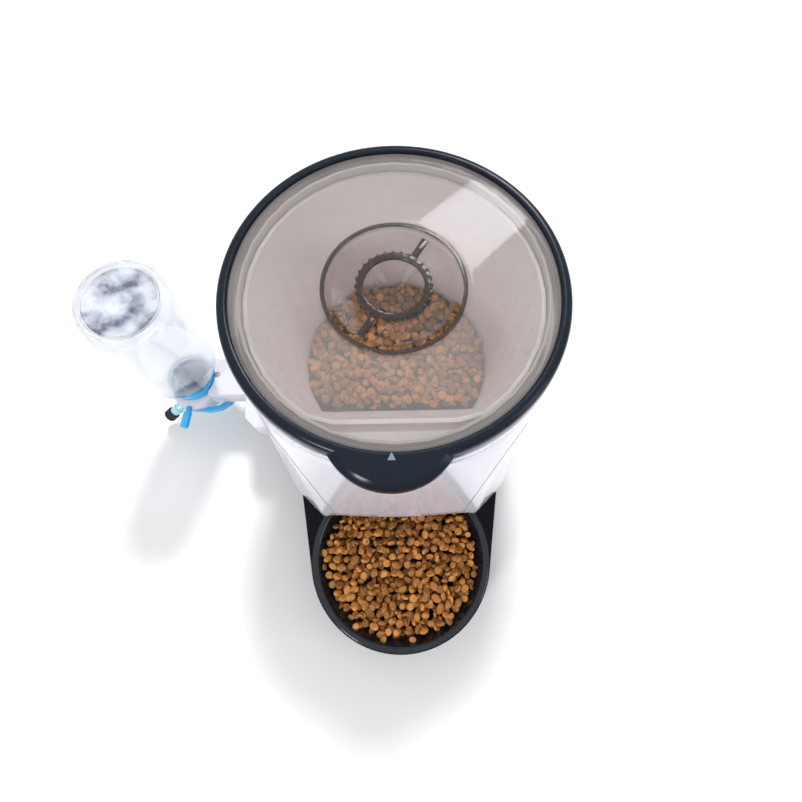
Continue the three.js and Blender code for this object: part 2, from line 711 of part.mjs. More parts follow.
// Turns a gear so that the middle of a tooth space faces the gear it meshes with, when a
// tooth of that gear points at it. Both angles are the direction of the line of centres,
// and phase is how far round that gear's nearest tooth is from the line, in degrees.
function meshedTurn(teeth, partnerTeeth, lineAngle, phase) {
  const half = 180 / teeth;
  return lineAngle + 180 + half + (phase * partnerTeeth) / teeth;
}

const idlerTurn = meshedTurn(IDLER_TEETH, DRIVE_TEETH, IDLER_ANGLE, 0);
const idlerPitch = 360 / IDLER_TEETH;
const pinionPhase = ((PINION_ANGLE - idlerTurn) % idlerPitch + idlerPitch) % idlerPitch;
const pinionTurn = meshedTurn(PINION_TEETH, IDLER_TEETH, PINION_ANGLE, pinionPhase);

const GEAR_TOP = GEAR_BOTTOM + GEAR_THICKNESS;

function driveGear() {
  return spurGear(DRIVE_TEETH, SHAFT_RADIUS + GAP, GEAR_BOTTOM, GEAR_TOP)
    .translate([0, ROTOR_PLACE, 0]);
}

function idlerGear() {
  return spurGear(IDLER_TEETH, 2 + GAP, GEAR_BOTTOM, GEAR_TOP)
    .rotate([0, 0, idlerTurn]).translate([idlerX, idlerY, 0]);
}

const PLATE_TOP = GEAR_BOTTOM - 1;
const PLATE_LOW = PLATE_TOP - 2;

function idlerPin() {
  return turned([[0, PLATE_LOW - 1.5], [2.9, PLATE_LOW - 1.5], [2.9, PLATE_LOW - GAP],
    [2, PLATE_LOW - GAP], [2, CHAMBER_FLOOR - 1], [0, CHAMBER_FLOOR - 1]],
  SMALL_ROUND, idlerX, idlerY);
}

function motorPinion() {
  const shaft = disc(1.2, PLATE_LOW - 3, GEAR_TOP, 0, 0, 16);
  const gear = spurGear(PINION_TEETH, 0.8, GEAR_BOTTOM, GEAR_TOP).rotate([0, 0, pinionTurn]);
  return join(gear, shaft).translate([pinionX, pinionY, 0]);
}

// The plate under the gears holds the idler's pin and the motor, and hangs from the
// chamber's floor on three posts.
function gearPlate() {
  const posts = [[-17, 20], [16, 28], [-17, -2]];
  const outline = hull([
    ...circlePoints(6, PLATE_LOW, -17, 20, SMALL_ROUND),
    ...circlePoints(6, PLATE_TOP, -17, 20, SMALL_ROUND),
    ...circlePoints(6, PLATE_LOW, -17, -2, SMALL_ROUND),
    ...circlePoints(6, PLATE_TOP, -17, -2, SMALL_ROUND),
    ...circlePoints(8, PLATE_LOW, idlerX, idlerY, SMALL_ROUND),
    ...circlePoints(8, PLATE_TOP, idlerX, idlerY, SMALL_ROUND),
    ...circlePoints(MOTOR_RADIUS, PLATE_LOW, pinionX, pinionY, SMALL_ROUND),
    ...circlePoints(MOTOR_RADIUS, PLATE_TOP, pinionX, pinionY, SMALL_ROUND),
  ]);
  const plate = cut(outline,
    disc(SHAFT_RADIUS + GAP, PLATE_LOW - 1, PLATE_TOP + 1, 0, ROTOR_PLACE),
    disc(2 + GAP, PLATE_LOW - 1, PLATE_TOP + 1, idlerX, idlerY),
    disc(3.4, PLATE_LOW - 1, PLATE_TOP + 1, pinionX, pinionY));
  const legs = posts.map(([x, y]) => disc(2.6, PLATE_LOW, CHAMBER_FLOOR - GAP, x, y, 16));
  return join(plate, ...legs);
}

function motor() {
  const top = PLATE_LOW - GAP;
  const low = top - MOTOR_LENGTH;
  return turned([[0, low], [4, low], [4, low + 2], [MOTOR_RADIUS - 1, low + 2],
    [MOTOR_RADIUS, low + 3], [MOTOR_RADIUS, top], [2, top], [2, top - 4], [0, top - 4]],
  SMALL_ROUND, pinionX, pinionY);
}

add('drive_gear', driveGear(), GEAR_COLOR, 0.5);
add('idler_gear', idlerGear(), GEAR_COLOR, 0.5);
add('idler_pin', idlerPin(), STEEL, 0.3, 1);
add('motor_pinion', motorPinion(), BRASS, 0.35, 1);
add('gear_plate', gearPlate(), BLACK, 0.5);
add('motor', motor(), STEEL, 0.35, 1);

// ---- Lid ----------------------------------------------------------------------------

function lidRim() {
  const inner = COVER_RADIUS + GAP;
  const ledge = inner - 1.8;
  const seat = COVER_EDGE - COVER_THICKNESS - GAP;
  const rim = turned([
    [ledge, LID_BOTTOM], [LID_RADIUS - 1, LID_BOTTOM], [LID_RADIUS, LID_BOTTOM + 1],
    [LID_RADIUS, LID_TOP - 4], [LID_RADIUS - 1, LID_TOP - 1.6], [LID_RADIUS - 3, LID_TOP],
    [inner + 1.5, LID_TOP], [inner, LID_TOP - 1.5], [inner, seat], [ledge, seat],
    [ledge, LID_BOTTOM],
  ], ROUND);
  const tab = cut(
    turned([[0, LID_BOTTOM + 1], [TAB_RADIUS - 2, LID_BOTTOM + 1], [TAB_RADIUS, LID_BOTTOM + 3],
      [TAB_RADIUS, LID_TOP - 5], [TAB_RADIUS - 4.5, LID_TOP - 0.6], [0, LID_TOP - 0.6]],
    ROUND, TAB_PLACE.x, TAB_PLACE.y),
    disc(LID_RADIUS - 3, LID_BOTTOM, LID_TOP + 1, 0, 0, ROUND));
  const lugs = [LUG_ANGLE, 180 - LUG_ANGLE, 180 + LUG_ANGLE, -LUG_ANGLE].map((angle) =>
    block(ledge - 3, ledge + 1, -3, 3, LID_BOTTOM + 1, LID_BOTTOM + 4)
      .rotate([0, 0, angle]));
  return join(rim, tab, ...lugs);
}

// Height of the domed cover's upper face at a radius.
function coverTop(radius) {
  return COVER_EDGE + COVER_RISE * (1 - (radius / COVER_RADIUS) ** 2);
}

function lidCover() {
  const bore = HOLDER_RADIUS + GAP;
  const radii = [bore, 68, 90, COVER_RADIUS];
  const upper = radii.map((r) => [r, coverTop(r)]).reverse();
  const lower = radii.map((r) => [r, coverTop(r) - COVER_THICKNESS]);
  return turned([...lower, ...upper, lower[0]], ROUND);
}

function lidSeal() {
  const low = HOUSING_TOP + 2 * GAP + FLANGE_THICKNESS;
  const inner = MOUTH_RADIUS + HOPPER_WALL + 0.8;
  const top = coverTop(inner + 2) - COVER_THICKNESS - GAP;
  return turned([[inner, top - 3], [inner + 0.6, low], [inner + 1.7, low], [inner + 1.2, top - 3],
    [inner + 2, top - 3], [inner + 2, top], [inner, top], [inner, top - 3]], ROUND);
}

function holder() {
  const flangeLow = coverTop(HOLDER_RADIUS) + GAP;
  const top = flangeLow + 1.5;
  const low = top - HOLDER_DEPTH;
  const step = top - 4.3;
  const bore = HOLDER_RADIUS - HOLDER_WALL;
  const cup = turned([
    [0, low], [HOLDER_RADIUS - 1, low], [HOLDER_RADIUS, low + 1], [HOLDER_RADIUS, flangeLow],
    [HOLDER_FLANGE, flangeLow], [HOLDER_FLANGE, top - 0.5], [HOLDER_FLANGE - 0.5, top],
    [bore, top], [bore, step], [bore - 2.5, step], [bore - 2.5, low + 1.8], [0, low + 1.8],
  ], ROUND);
  const vents = [];
  for (let i = 0; i < 6; i += 1) {
    const slot = block(12, 32, -2, 2, low - 1, low + 3);
    vents.push(slot.rotate([0, 0, 60 * i]));
  }
  return cut(cup, ...vents);
}

const CAP_TOP = coverTop(HOLDER_RADIUS) + GAP + 1.5 - 2.2;

// The twist-off cap: a clear disc with a toothed hub ring and two finger bars.
function holderCap() {
  const radius = HOLDER_RADIUS - HOLDER_WALL - GAP;
  const low = CAP_TOP - 1.8;
  const plate = disc(radius, low, CAP_TOP, 0, 0, ROUND);
  const hub = ring(HUB_RADIUS - 0.8, HUB_BORE, CAP_TOP - 0.5, CAP_TOP + 2.6);
  const teeth = [];
  for (let i = 0; i < HUB_TEETH; i += 1) {
    const tooth = block(HUB_RADIUS - 1.4, HUB_RADIUS, -1.2, 1.2, CAP_TOP - 0.5, CAP_TOP + 2.6);
    teeth.push(tooth.rotate([0, 0, (360 * i) / HUB_TEETH]));
  }
  const bars = [BAR_ANGLE, BAR_ANGLE + 180].map((angle) =>
    block(HUB_RADIUS - 2, radius - 0.5, -1.7, 1.7, CAP_TOP - 0.5, CAP_TOP + 1.6)
      .rotate([0, 0, angle]));
  return join(plate, hub, ...teeth, ...bars);
}

add('lid_rim', lidRim(), NAVY, 0.25);
add('lid_cover', lidCover(), SMOKE, 0.1);
add('lid_seal', lidSeal(), MILK, 0.8);
add('desiccant_holder', holder(), SMOKE, 0.15);
add('desiccant_cap', holderCap(), SMOKE, 0.15);

// ---- Bottle dock on the side of the housing -----------------------------------------

const SLOT = { neck: 8, head: 14, depth: 4, low: 66 };

function bottleDock() {
  const { front, back, low, top, chamfer } = DOCK;
  const shape = new THREE.Shape();
  shape.moveTo(-60, front);
  shape.lineTo(-60, back);
  shape.lineTo(DOCK_FACE + chamfer, back);
  shape.lineTo(DOCK_FACE, back - chamfer);
  shape.lineTo(DOCK_FACE, front + chamfer);
  shape.lineTo(DOCK_FACE + chamfer, front);
  const hollow = block(DOCK_FACE + 14, -118, front + chamfer, back - chamfer, low - 1, top - 3);
  const neck = block(DOCK_FACE - 1, DOCK_FACE + SLOT.depth, BOTTLE.y - SLOT.neck,
    BOTTLE.y + SLOT.neck, SLOT.low, top + 1);
  const head = block(DOCK_FACE + SLOT.depth, DOCK_FACE + 2 * SLOT.depth,
    BOTTLE.y - SLOT.head, BOTTLE.y + SLOT.head, SLOT.low, top + 1);
  return cut(prism(shape, low, top), bodyForm(-GAP, 0), block(-100, 0, -60, 100, low - 1, top + 1),
    hollow, neck, head);
}

add('bottle_dock', bottleDock(), WHITE, 0.2);

// ---- Bottle bracket, valve and bottle -----------------------------------------------

function bottleBracket() {
  const { x, y } = BOTTLE;
  const face = DOCK_FACE - 0.5;
  const arm = block(x + 18, face, y - ARM_HALF_WIDTH, y + ARM_HALF_WIDTH, HEAD_LOW, ARM_TOP);
  const plate = block(face - 3, face, y - ARM_HALF_WIDTH, y + ARM_HALF_WIDTH, HEAD_LOW,
    DOCK.top - 2);
  const head = disc(HEAD_RADIUS, HEAD_LOW, HEAD_TOP, x, y, ROUND);
  const neck = block(face - 1, DOCK_FACE + SLOT.depth + GAP, y - SLOT.neck + GAP,
    y + SLOT.neck - GAP, SLOT.low + GAP, DOCK.top - 2);
  const tongue = block(DOCK_FACE + SLOT.depth + GAP, DOCK_FACE + 2 * SLOT.depth - GAP,
    y - SLOT.head + GAP, y + SLOT.head - GAP, SLOT.low + GAP, DOCK.top - 2);
  const collarSpace = disc(COLLAR_OUTER + 1, HEAD_TOP, ARM_TOP + 1, x, y, ROUND);
  const bore = disc(HEAD_BORE, HEAD_LOW - 1, HEAD_TOP + 1, x, y, ROUND);
  const hollow = block(x + HEAD_RADIUS + 3, face - 6, y - ARM_HALF_WIDTH + 3,
    y + ARM_HALF_WIDTH - 3, HEAD_LOW - 1, ARM_TOP - 6);
  const screwHole = disc(1.6 + GAP, ARM_TOP - 8, ARM_TOP + 1, x + HEAD_RADIUS - 2, y + 2, 16);
  const screwSeat = disc(2.7 + GAP, ARM_TOP - 1.5, ARM_TOP + 1, x + HEAD_RADIUS - 2, y + 2, 16);
  const tapHole = laidOut(disc(2.4 + GAP, 10, 40, 0, 0, SMALL_ROUND), x, y, TAP.height, TAP.angle);
  return cut(join(arm, plate, head, neck, tongue), collarSpace, bore, hollow, screwHole,
    screwSeat, tapHole);
}

function bracketScrew() {
  const seat = ARM_TOP - 1.5 + GAP;
  return turned([[0, ARM_TOP - 7], [1.6, ARM_TOP - 7], [1.6, seat], [2.7, seat],
    [2.7, ARM_TOP + 0.4], [0, ARM_TOP + 0.8]], 16, BOTTLE.x + HEAD_RADIUS - 2, BOTTLE.y + 2);
}

function bottleCollar() {
  const low = HEAD_TOP + GAP;
  const top = low + 8.4;
  return turned([[COLLAR_BORE, low], [COLLAR_OUTER, low], [COLLAR_OUTER, low + 3],
    [COLLAR_OUTER - 1, low + 3.6], [COLLAR_OUTER - 1, low + 4.8], [COLLAR_OUTER, low + 5.4],
    [COLLAR_OUTER - 0.4, top], [COLLAR_BORE + 0.6, top], [COLLAR_BORE, top - 0.8],
    [COLLAR_BORE, low]], ROUND, BOTTLE.x, BOTTLE.y);
}

// The coloured band under the bracket, round its head and the root of its arm.
function bracketBand() {
  const top = HEAD_LOW - GAP;
  const outline = (inset, low, high) => hull([
    ...circlePoints(HEAD_RADIUS - inset, low, BOTTLE.x, BOTTLE.y, ROUND / 2),
    ...circlePoints(HEAD_RADIUS - inset, high, BOTTLE.x, BOTTLE.y, ROUND / 2),
    ...circlePoints(HEAD_RADIUS + 1 - inset, low, BOTTLE.x + BAND_SHIFT, BOTTLE.y, ROUND / 2),
    ...circlePoints(HEAD_RADIUS + 1 - inset, high, BOTTLE.x + BAND_SHIFT, BOTTLE.y, ROUND / 2),
  ]);
  const body = cut(outline(0, BAND_LOW, top), outline(4, BAND_LOW - 1, top + 1));
  return cut(body, laidOut(disc(NOZZLE.radius + 1.5, 0, 60), BOTTLE.x, BOTTLE.y,
    NOZZLE.height, NOZZLE.angle, NOZZLE.fall));
}

const VALVE_RADIUS = HEAD_BORE - GAP;

// The cup under the neck, with a floor that the stem stands on and a port for the nozzle.
function valveBody() {
  const { x, y } = BOTTLE;
  const top = NECK_END - GAP - 1;
  const cup = turned([[0, VALVE_LOW], [VALVE_RADIUS - 3, VALVE_LOW], [VALVE_RADIUS, VALVE_LOW + 4],
    [VALVE_RADIUS, top], [VALVE_RADIUS - 2.5, top], [VALVE_RADIUS - 2.5, VALVE_LOW + 6],
    [0, VALVE_LOW + 6]], ROUND / 2, x, y);
  const port = laidOut(disc(NOZZLE.radius + GAP, 0, 60), x, y, NOZZLE.height, NOZZLE.angle,
    NOZZLE.fall);
  const tapPort = laidOut(disc(2.4 + GAP, 10, 40, 0, 0, SMALL_ROUND), x, y, TAP.height, TAP.angle);
  return cut(cup, port, tapPort);
}

function valveStem() {
  const [dx, dy] = polar(STEM.offset, STEM.angle);
  const low = VALVE_LOW + 6 + GAP;
  return turned([[0, low], [STEM.radius, low], [STEM.radius, STEM.top - 5],
    [STEM.radius - 1.5, STEM.top], [3, STEM.top], [3, STEM.top - 12], [0, STEM.top - 12]],
  SMALL_ROUND, BOTTLE.x + dx, BOTTLE.y + dy);
}

function alongNozzle(profile, steps = SMALL_ROUND) {
  return laidOut(turned(profile, steps), BOTTLE.x, BOTTLE.y, NOZZLE.height, NOZZLE.angle,
    NOZZLE.fall);
}

function nozzleTube() {
  const { end, radius } = NOZZLE;
  const start = STEM.offset + STEM.radius + 5.5;
  return alongNozzle([[3, start], [radius, start], [radius, end], [radius - 1.4, end],
    [radius - 1.4, end + 4], [3, end + 4], [3, start]]);
}

function nozzleTip() {
  const low = NOZZLE.end + GAP;
  const top = low + TIP_LENGTH;
  const bore = NOZZLE.radius - 1.4 + GAP;
  return alongNozzle([[bore, low], [TIP_RADIUS, low], [TIP_RADIUS, top - 1],
    [TIP_RADIUS - 1, top], [2.3, top], [2.3, low + 5], [bore, low + 5], [bore, low]]);
}

// The pin that the animal pushes in to let water out.
function nozzlePin() {
  const top = NOZZLE.end + GAP + TIP_LENGTH;
  return alongNozzle([[0, NOZZLE.end - 12], [1.9, NOZZLE.end - 12], [1.9, top + 1.4],
    [1, top + 2.4], [0, top + 2.4]], 20);
}

// The tap: a spindle into the valve and a finger grip with two flats.
function tapKnob() {
  const end = HEAD_RADIUS + TAP.reach;
  const spindle = disc(2.4, VALVE_RADIUS - 0.7, HEAD_RADIUS + 3, 0, 0, SMALL_ROUND);
  const neck = disc(3, HEAD_RADIUS + 0.6, HEAD_RADIUS + 5, 0, 0, SMALL_ROUND);
  const grip = turned([[0, HEAD_RADIUS + 4.5], [TAP.radius, HEAD_RADIUS + 4.5],
    [TAP.radius, end - 1], [TAP.radius - 1, end], [0, end]], SMALL_ROUND);
  const flats = [-1, 1].map((side) =>
    block(side > 0 ? 3.2 : -6, side > 0 ? 6 : -3.2, -6, 6, HEAD_RADIUS + 9, end + 1));
  return laidOut(cut(join(spindle, neck, grip), ...flats), BOTTLE.x, BOTTLE.y, TAP.height,
    TAP.angle);
}

// The upturned bottle, neck down, with a dimpled base on top.
function bottle() {
  const { radius, base } = BOTTLE;
  const neck = NECK_RADIUS;
  const outer = [[neck, NECK_END], [neck, 77], [neck + 2.4, 77.4], [neck + 2.4, 79.4],
    [neck, 80], [neck + 0.6, 84], [neck + 4.5, 92], [radius - 4.5, 106], [radius - 0.8, 116],
    [radius, 124], [radius, base - 14], [radius - 0.8, base - 8], [radius - 3.5, base - 3],
    [radius - 8, base], [radius - 11.5, base - 1.2], [12, base - 7], [8, base - 7.4],
    [0, base - 7]];
  const wall = BOTTLE_WALL;
  const inner = [[0, base - 7 - wall], [8, base - 7.4 - wall], [12.4, base - 7 - wall],
    [radius - 11.5, base - 1.2 - wall], [radius - 8.4, base - wall],
    [radius - 3.9 - wall, base - 4], [radius - wall - 0.8, base - 9],
    [radius - wall, base - 14], [radius - wall, 124], [radius - 0.8 - wall, 116],
    [radius - 4.5 - wall, 106.5], [neck + 4 - wall, 92.5], [NECK_BORE + 0.4, 84],
    [NECK_BORE, 80], [NECK_BORE, NECK_END], [neck, NECK_END]];
  return turned([...outer, ...inner], 24, BOTTLE.x, BOTTLE.y);
}

add('bottle_bracket', bottleBracket(), WHITE, 0.25);
add('bracket_screw', bracketScrew(), STEEL, 0.35, 1);
add('bottle_collar', bottleCollar(), SKY, 0.25);
add('bracket_band', bracketBand(), SKY, 0.25);
add('valve_body', valveBody(), CLEAR, 0.25);
add('valve_stem', valveStem(), SKY, 0.3);
add('nozzle_tube', nozzleTube(), CLEAR, 0.25);
add('nozzle_tip', nozzleTip(), BLACK, 0.5);
add('nozzle_pin', nozzlePin(), STEEL, 0.2, 1);
add('tap_knob', tapKnob(), SKY, 0.3);
add('bottle', bottle(), CLEAR, 0.05);

// ---- Origin: the middle of the floor area under the object --------------------------

const extent = new THREE.Box3().setFromObject(feeder);
const centre = extent.getCenter(new THREE.Vector3());
feeder.position.set(-centre.x, -centre.y, -extent.min.z);

export default feeder;
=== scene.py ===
import json
import random
from math import cos, pi, radians, sin

import bpy
from mathutils import Euler, Matrix, Vector

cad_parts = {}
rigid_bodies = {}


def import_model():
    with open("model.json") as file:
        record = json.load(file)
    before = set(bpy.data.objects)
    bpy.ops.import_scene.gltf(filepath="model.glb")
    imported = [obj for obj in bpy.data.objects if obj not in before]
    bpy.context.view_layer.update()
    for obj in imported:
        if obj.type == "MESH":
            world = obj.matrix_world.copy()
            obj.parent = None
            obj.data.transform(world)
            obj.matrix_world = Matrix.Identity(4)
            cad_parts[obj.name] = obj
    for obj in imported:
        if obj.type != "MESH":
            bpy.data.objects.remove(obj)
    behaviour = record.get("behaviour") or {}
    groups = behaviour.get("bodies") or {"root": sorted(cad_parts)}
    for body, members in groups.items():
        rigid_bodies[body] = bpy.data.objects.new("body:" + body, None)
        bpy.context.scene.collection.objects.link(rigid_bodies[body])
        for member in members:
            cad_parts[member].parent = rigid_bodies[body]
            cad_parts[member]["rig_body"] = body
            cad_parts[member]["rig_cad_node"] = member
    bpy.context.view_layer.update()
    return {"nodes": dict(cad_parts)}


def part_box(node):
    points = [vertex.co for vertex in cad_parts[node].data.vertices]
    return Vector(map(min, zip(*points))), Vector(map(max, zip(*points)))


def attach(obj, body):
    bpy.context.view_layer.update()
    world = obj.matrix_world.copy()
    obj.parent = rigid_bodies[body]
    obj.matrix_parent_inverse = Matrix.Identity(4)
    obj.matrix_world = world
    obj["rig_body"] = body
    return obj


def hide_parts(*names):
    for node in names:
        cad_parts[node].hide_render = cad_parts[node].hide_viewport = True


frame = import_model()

bl_info = {
    "name": "Automatic Pet Feeder",
    "version": (1, 0, 0),
    "blender": (4, 5, 0),
    "location": "3D View > Sidebar > Pet Feeder",
    "description": "Builds the outer pieces, the food and the studio of an automatic pet feeder",
    "category": "Object",
}

MM = 0.001


def middle(name):
    """The plan position of a node's middle, in millimetres."""
    low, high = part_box(name)
    return ((low.x + high.x) / 2 / MM, (low.y + high.y) / 2 / MM)


def span(name, axis):
    """A node's lowest and highest place along an axis, in millimetres."""
    low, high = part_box(name)
    return low[axis] / MM, high[axis] / MM


AXIS = middle("lid_cover")          # the hopper's axis
BOWL = middle("bowl")               # the bowl's axis
BOTTLE = middle("bottle")           # the bottle's axis
LID_TOP = span("lid_rim", 2)[1]
BROW_HEIGHT = 104.0
BASE_TOP = span("base_shell", 2)[1]


# ---- Sizes and colours a user would change ---------------------------------------------


def length(name, default, text, low=0.0, high=400.0):
    """A size in millimetres, shown as a plain number."""
    return bpy.props.FloatProperty(name=name, description=text, default=default, min=low, max=high)


def colour(name, default, text):
    return bpy.props.FloatVectorProperty(
        name=name, description=text, default=default, size=3, min=0.0, max=1.0, subtype="COLOR")


class FeederSizes(bpy.types.PropertyGroup):
    """Sizes of the shaped outer pieces, in millimetres."""

    round_steps: bpy.props.IntProperty(
        name="Round steps", description="Sides of a large round piece", default=144, min=24,
        max=256)
    edge: length("Moulded edge", 0.6, "Rounding of the moulded edges", 0.05, 2.0)
    cover_rise: length("Cover rise", 3.9, "How far the lid's cover is domed", 0.0, 10.0)
    mark: length("Lid mark", 2.5, "Half width of the triangular mark on the tab", 1.0, 8.0)
    hub_ribs: bpy.props.IntProperty(
        name="Hub ribs", description="Grip ribs round the desiccant cap's hub", default=28, min=8,
        max=48)


class FoodSizes(bpy.types.PropertyGroup):
    """The dry food in the bowl and the hopper."""

    piece: length("Food piece", 4.9, "Half the length of one piece of food", 2.0, 10.0)
    pitch: length("Spacing", 8.3, "Distance between neighbouring pieces", 4.0, 20.0)
    bowl_level: length("Level in the bowl", 53.5, "Height of the top layer's middle", 30.0, 58.0)
    hopper_level: length(
        "Level in the hopper", 153.0, "Height of the top layer's middle", 140.0, 240.0)
    seed: bpy.props.IntProperty(
        name="Seed", description="Another number piles it differently", default=11)


class FeederColours(bpy.types.PropertyGroup):
    """Colours of the finishes."""

    white: colour("Body", (0.70, 0.69, 0.75), "Glossy white body")
    navy: colour("Lid ring", (0.006, 0.010, 0.018), "Dark navy of the lid's ring and the bowl")
    black: colour("Base", (0.004, 0.005, 0.009), "Satin black of the base")
    smoke: colour("Cover", (0.36, 0.325, 0.315), "Smoke tint of the clear cover")
    milk: colour("Hopper", (0.80, 0.75, 0.76), "Pale grey of the hopper")
    sky: colour("Accents", (0.03, 0.42, 0.83), "Sky blue of the tap and the bands")
    pale: colour("Nozzle", (0.42, 0.76, 0.86), "Pale blue of the nozzle")
    food: colour("Food", (0.70, 0.32, 0.075), "Baked orange-brown of the food")


class StudioSettings(bpy.types.PropertyGroup):
    """Lights and floor."""

    sky_light: bpy.props.FloatProperty(
        name="Room light", description="Strength of the even room light", default=0.80, min=0.0,
        max=5.0)
    key_light: bpy.props.FloatProperty(
        name="Key light", description="Power of the main light", default=34.0, min=0.0,
        subtype="POWER")
    window: bpy.props.FloatProperty(
        name="Reflected panel", description="Power of the panel that the cover reflects",
        default=10.0, min=0.0, subtype="POWER")


# ---- Modelling helpers -----------------------------------------------------------------


def begin():
    """Object mode with nothing selected."""
    if bpy.context.object and bpy.context.object.mode != "OBJECT":
        bpy.ops.object.mode_set(mode="OBJECT")
    bpy.ops.object.select_all(action="DESELECT")


def pick(piece, *others):
    """Makes these the only selected objects, the first one active."""
    begin()
    for o in (piece, *others):
        o.select_set(True)
    bpy.context.view_layer.objects.active = piece


def start_mesh(name):
    """Names the primitive just added, applies its place and opens it for editing."""
    bpy.ops.object.transform_apply(location=True, rotation=True, scale=True)
    piece = bpy.context.object
    piece.name = name
    piece.data.name = name
    bpy.ops.object.mode_set(mode="EDIT")
    bpy.ops.mesh.select_mode(type="VERT")
    bpy.ops.mesh.select_all(action="SELECT")
    return piece


def close_mesh(merge=0.000004):
    """Merges doubles, closes the open ends and points the faces outwards."""
    bpy.ops.mesh.select_all(action="SELECT")
    bpy.ops.mesh.remove_doubles(threshold=merge)
    bpy.ops.mesh.fill_holes(sides=0)
    bpy.ops.mesh.select_all(action="SELECT")
    bpy.ops.mesh.normals_make_consistent(inside=False)
    bpy.ops.object.mode_set(mode="OBJECT")


def turned(name, profile, centre=AXIS, steps=None):
    """A round piece, drawn ring by ring through (radius, height) in millimetres.

    A profile that ends where it starts makes a closed ring; the ends of any other are capped.
    """
    begin()
    x, y = centre[0] * MM, centre[1] * MM
    radius, height = profile[0]
    count = steps or bpy.context.scene.feeder_sizes.round_steps
    bpy.ops.mesh.primitive_circle_add(
        vertices=count, radius=radius * MM, location=(x, y, height * MM))
    piece = start_mesh(name)
    for new_radius, new_height in profile[1:]:
        bpy.ops.mesh.extrude_region_move(
            TRANSFORM_OT_translate={"value": (0, 0, (new_height - height) * MM)})
        if abs(new_radius - radius) > 1e-6:
            k = new_radius / radius
            bpy.ops.transform.resize(value=(k, k, 1), center_override=(x, y, new_height * MM))
        radius, height = new_radius, new_height
    close_mesh()
    return piece


def drawn(name, points, depth):
    """A straight-sided piece: its outline is drawn point by point, filled and drawn out."""
    begin()
    corners = [Vector(p) * MM for p in points]
    bpy.ops.mesh.primitive_plane_add(size=MM, location=corners[0])
    piece = start_mesh(name)
    bpy.ops.mesh.merge(type="CENTER")
    for here, there in zip(corners, corners[1:]):
        bpy.ops.mesh.extrude_vertices_move(TRANSFORM_OT_translate={"value": there - here})
    bpy.ops.mesh.select_all(action="SELECT")
    bpy.ops.mesh.edge_face_add()
    bpy.ops.mesh.extrude_region_move(TRANSFORM_OT_translate={"value": Vector(depth) * MM})
    close_mesh()
    return piece


def spanned(name, circles):
    """The convex form round level circles, each (x, y, height, radius, steps)."""
    begin()
    for i, (x, y, height, radius, steps) in enumerate(circles):
        bpy.ops.mesh.primitive_circle_add(
            vertices=steps, radius=radius * MM, location=(x * MM, y * MM, height * MM))
        if i == 0:
            piece = start_mesh(name)
    bpy.ops.mesh.select_all(action="SELECT")
    bpy.ops.mesh.convex_hull(join_triangles=False)
    close_mesh()
    return piece


def modify(piece, kind, **settings):
    """Adds a modifier, sets it and applies it."""
    pick(piece)
    modifier = piece.modifiers.new(kind.title(), kind)
    for key, value in settings.items():
        setattr(modifier, key, value)
    bpy.ops.object.modifier_apply(modifier=modifier.name)
    return piece


def combine(piece, operation, *tools):
    """Cuts with, joins or keeps what is common to each tool, and clears the tools away."""
    for tool in tools:
        modify(piece, "BOOLEAN", operation=operation, object=tool, solver="EXACT")
        bpy.data.objects.remove(tool)
    return piece


def soften(piece, width, segments=3, angle=32.0):
    """Rounds the edges of a piece and smooths its faces."""
    modify(piece, "BEVEL", width=width * MM, segments=segments, limit_method="ANGLE",
           angle_limit=radians(angle), harden_normals=False, miter_outer="MITER_ARC")
    return smooth(piece)


def smooth(piece, angle=32.0):
    pick(piece)
    bpy.ops.object.shade_smooth_by_angle(angle=radians(angle))
    return piece


def placed(piece, position, turn):
    """Turns a piece made at the origin, moves it to its place and applies both."""
    pick(piece)
    move = Matrix.Translation(Vector(position) * MM)
    piece.matrix_world = move @ Euler(turn).to_matrix().to_4x4()
    bpy.ops.object.transform_apply(location=True, rotation=True, scale=True)
    return piece


def refined(node, name, width=0.35, segments=2, flat=0.5, angle=30.0):
    """A merged copy of a node with its edges rounded."""
    begin()
    source = frame["nodes"][node]
    pick(source)
    bpy.ops.object.duplicate()
    piece = bpy.context.object
    piece.name = name
    piece.data.name = name
    piece.parent = None
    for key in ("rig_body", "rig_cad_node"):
        del piece[key]
    piece.data.materials.clear()
    bpy.ops.object.mode_set(mode="EDIT")
    bpy.ops.mesh.select_all(action="SELECT")
    bpy.ops.mesh.remove_doubles(threshold=0.000005)
    bpy.ops.mesh.dissolve_limited(angle_limit=radians(flat))
    bpy.ops.object.mode_set(mode="OBJECT")
    if width:
        return soften(piece, width, segments, angle)
    return smooth(piece, angle)


def finished(piece, body, slot, material, *nodes):
    """Gives a piece its finish and its body, and lets it stand for its nodes."""
    pick(piece)
    piece.data.materials.clear()
    piece.data.materials.append(material)
    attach(piece, body)
    if nodes:
        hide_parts(*nodes)
    return piece


def on_axis(points, centre=AXIS):
    """Moves plan points measured from an axis into the frame."""
    return [(p[0] + centre[0], p[1] + centre[1], *p[2:]) for p in points]


# ---- Finishes --------------------------------------------------------------------------


def new_finish(name):
    """An empty finish: its node tree, its shader and Object coordinates."""
    material = bpy.data.materials.new(name)
    material.use_nodes = True
    tree = material.node_tree
    shader = tree.nodes["Principled BSDF"]
    place = tree.nodes.new("ShaderNodeTexCoord").outputs["Object"]
    return material, tree, shader, place


def noise(tree, place, scale, detail=3.0, roughness=0.5):
    node = tree.nodes.new("ShaderNodeTexNoise")
    node.inputs["Scale"].default_value = scale
    node.inputs["Detail"].default_value = detail
    node.inputs["Roughness"].default_value = roughness
    tree.links.new(place, node.inputs["Vector"])
    return node.outputs["Fac"]


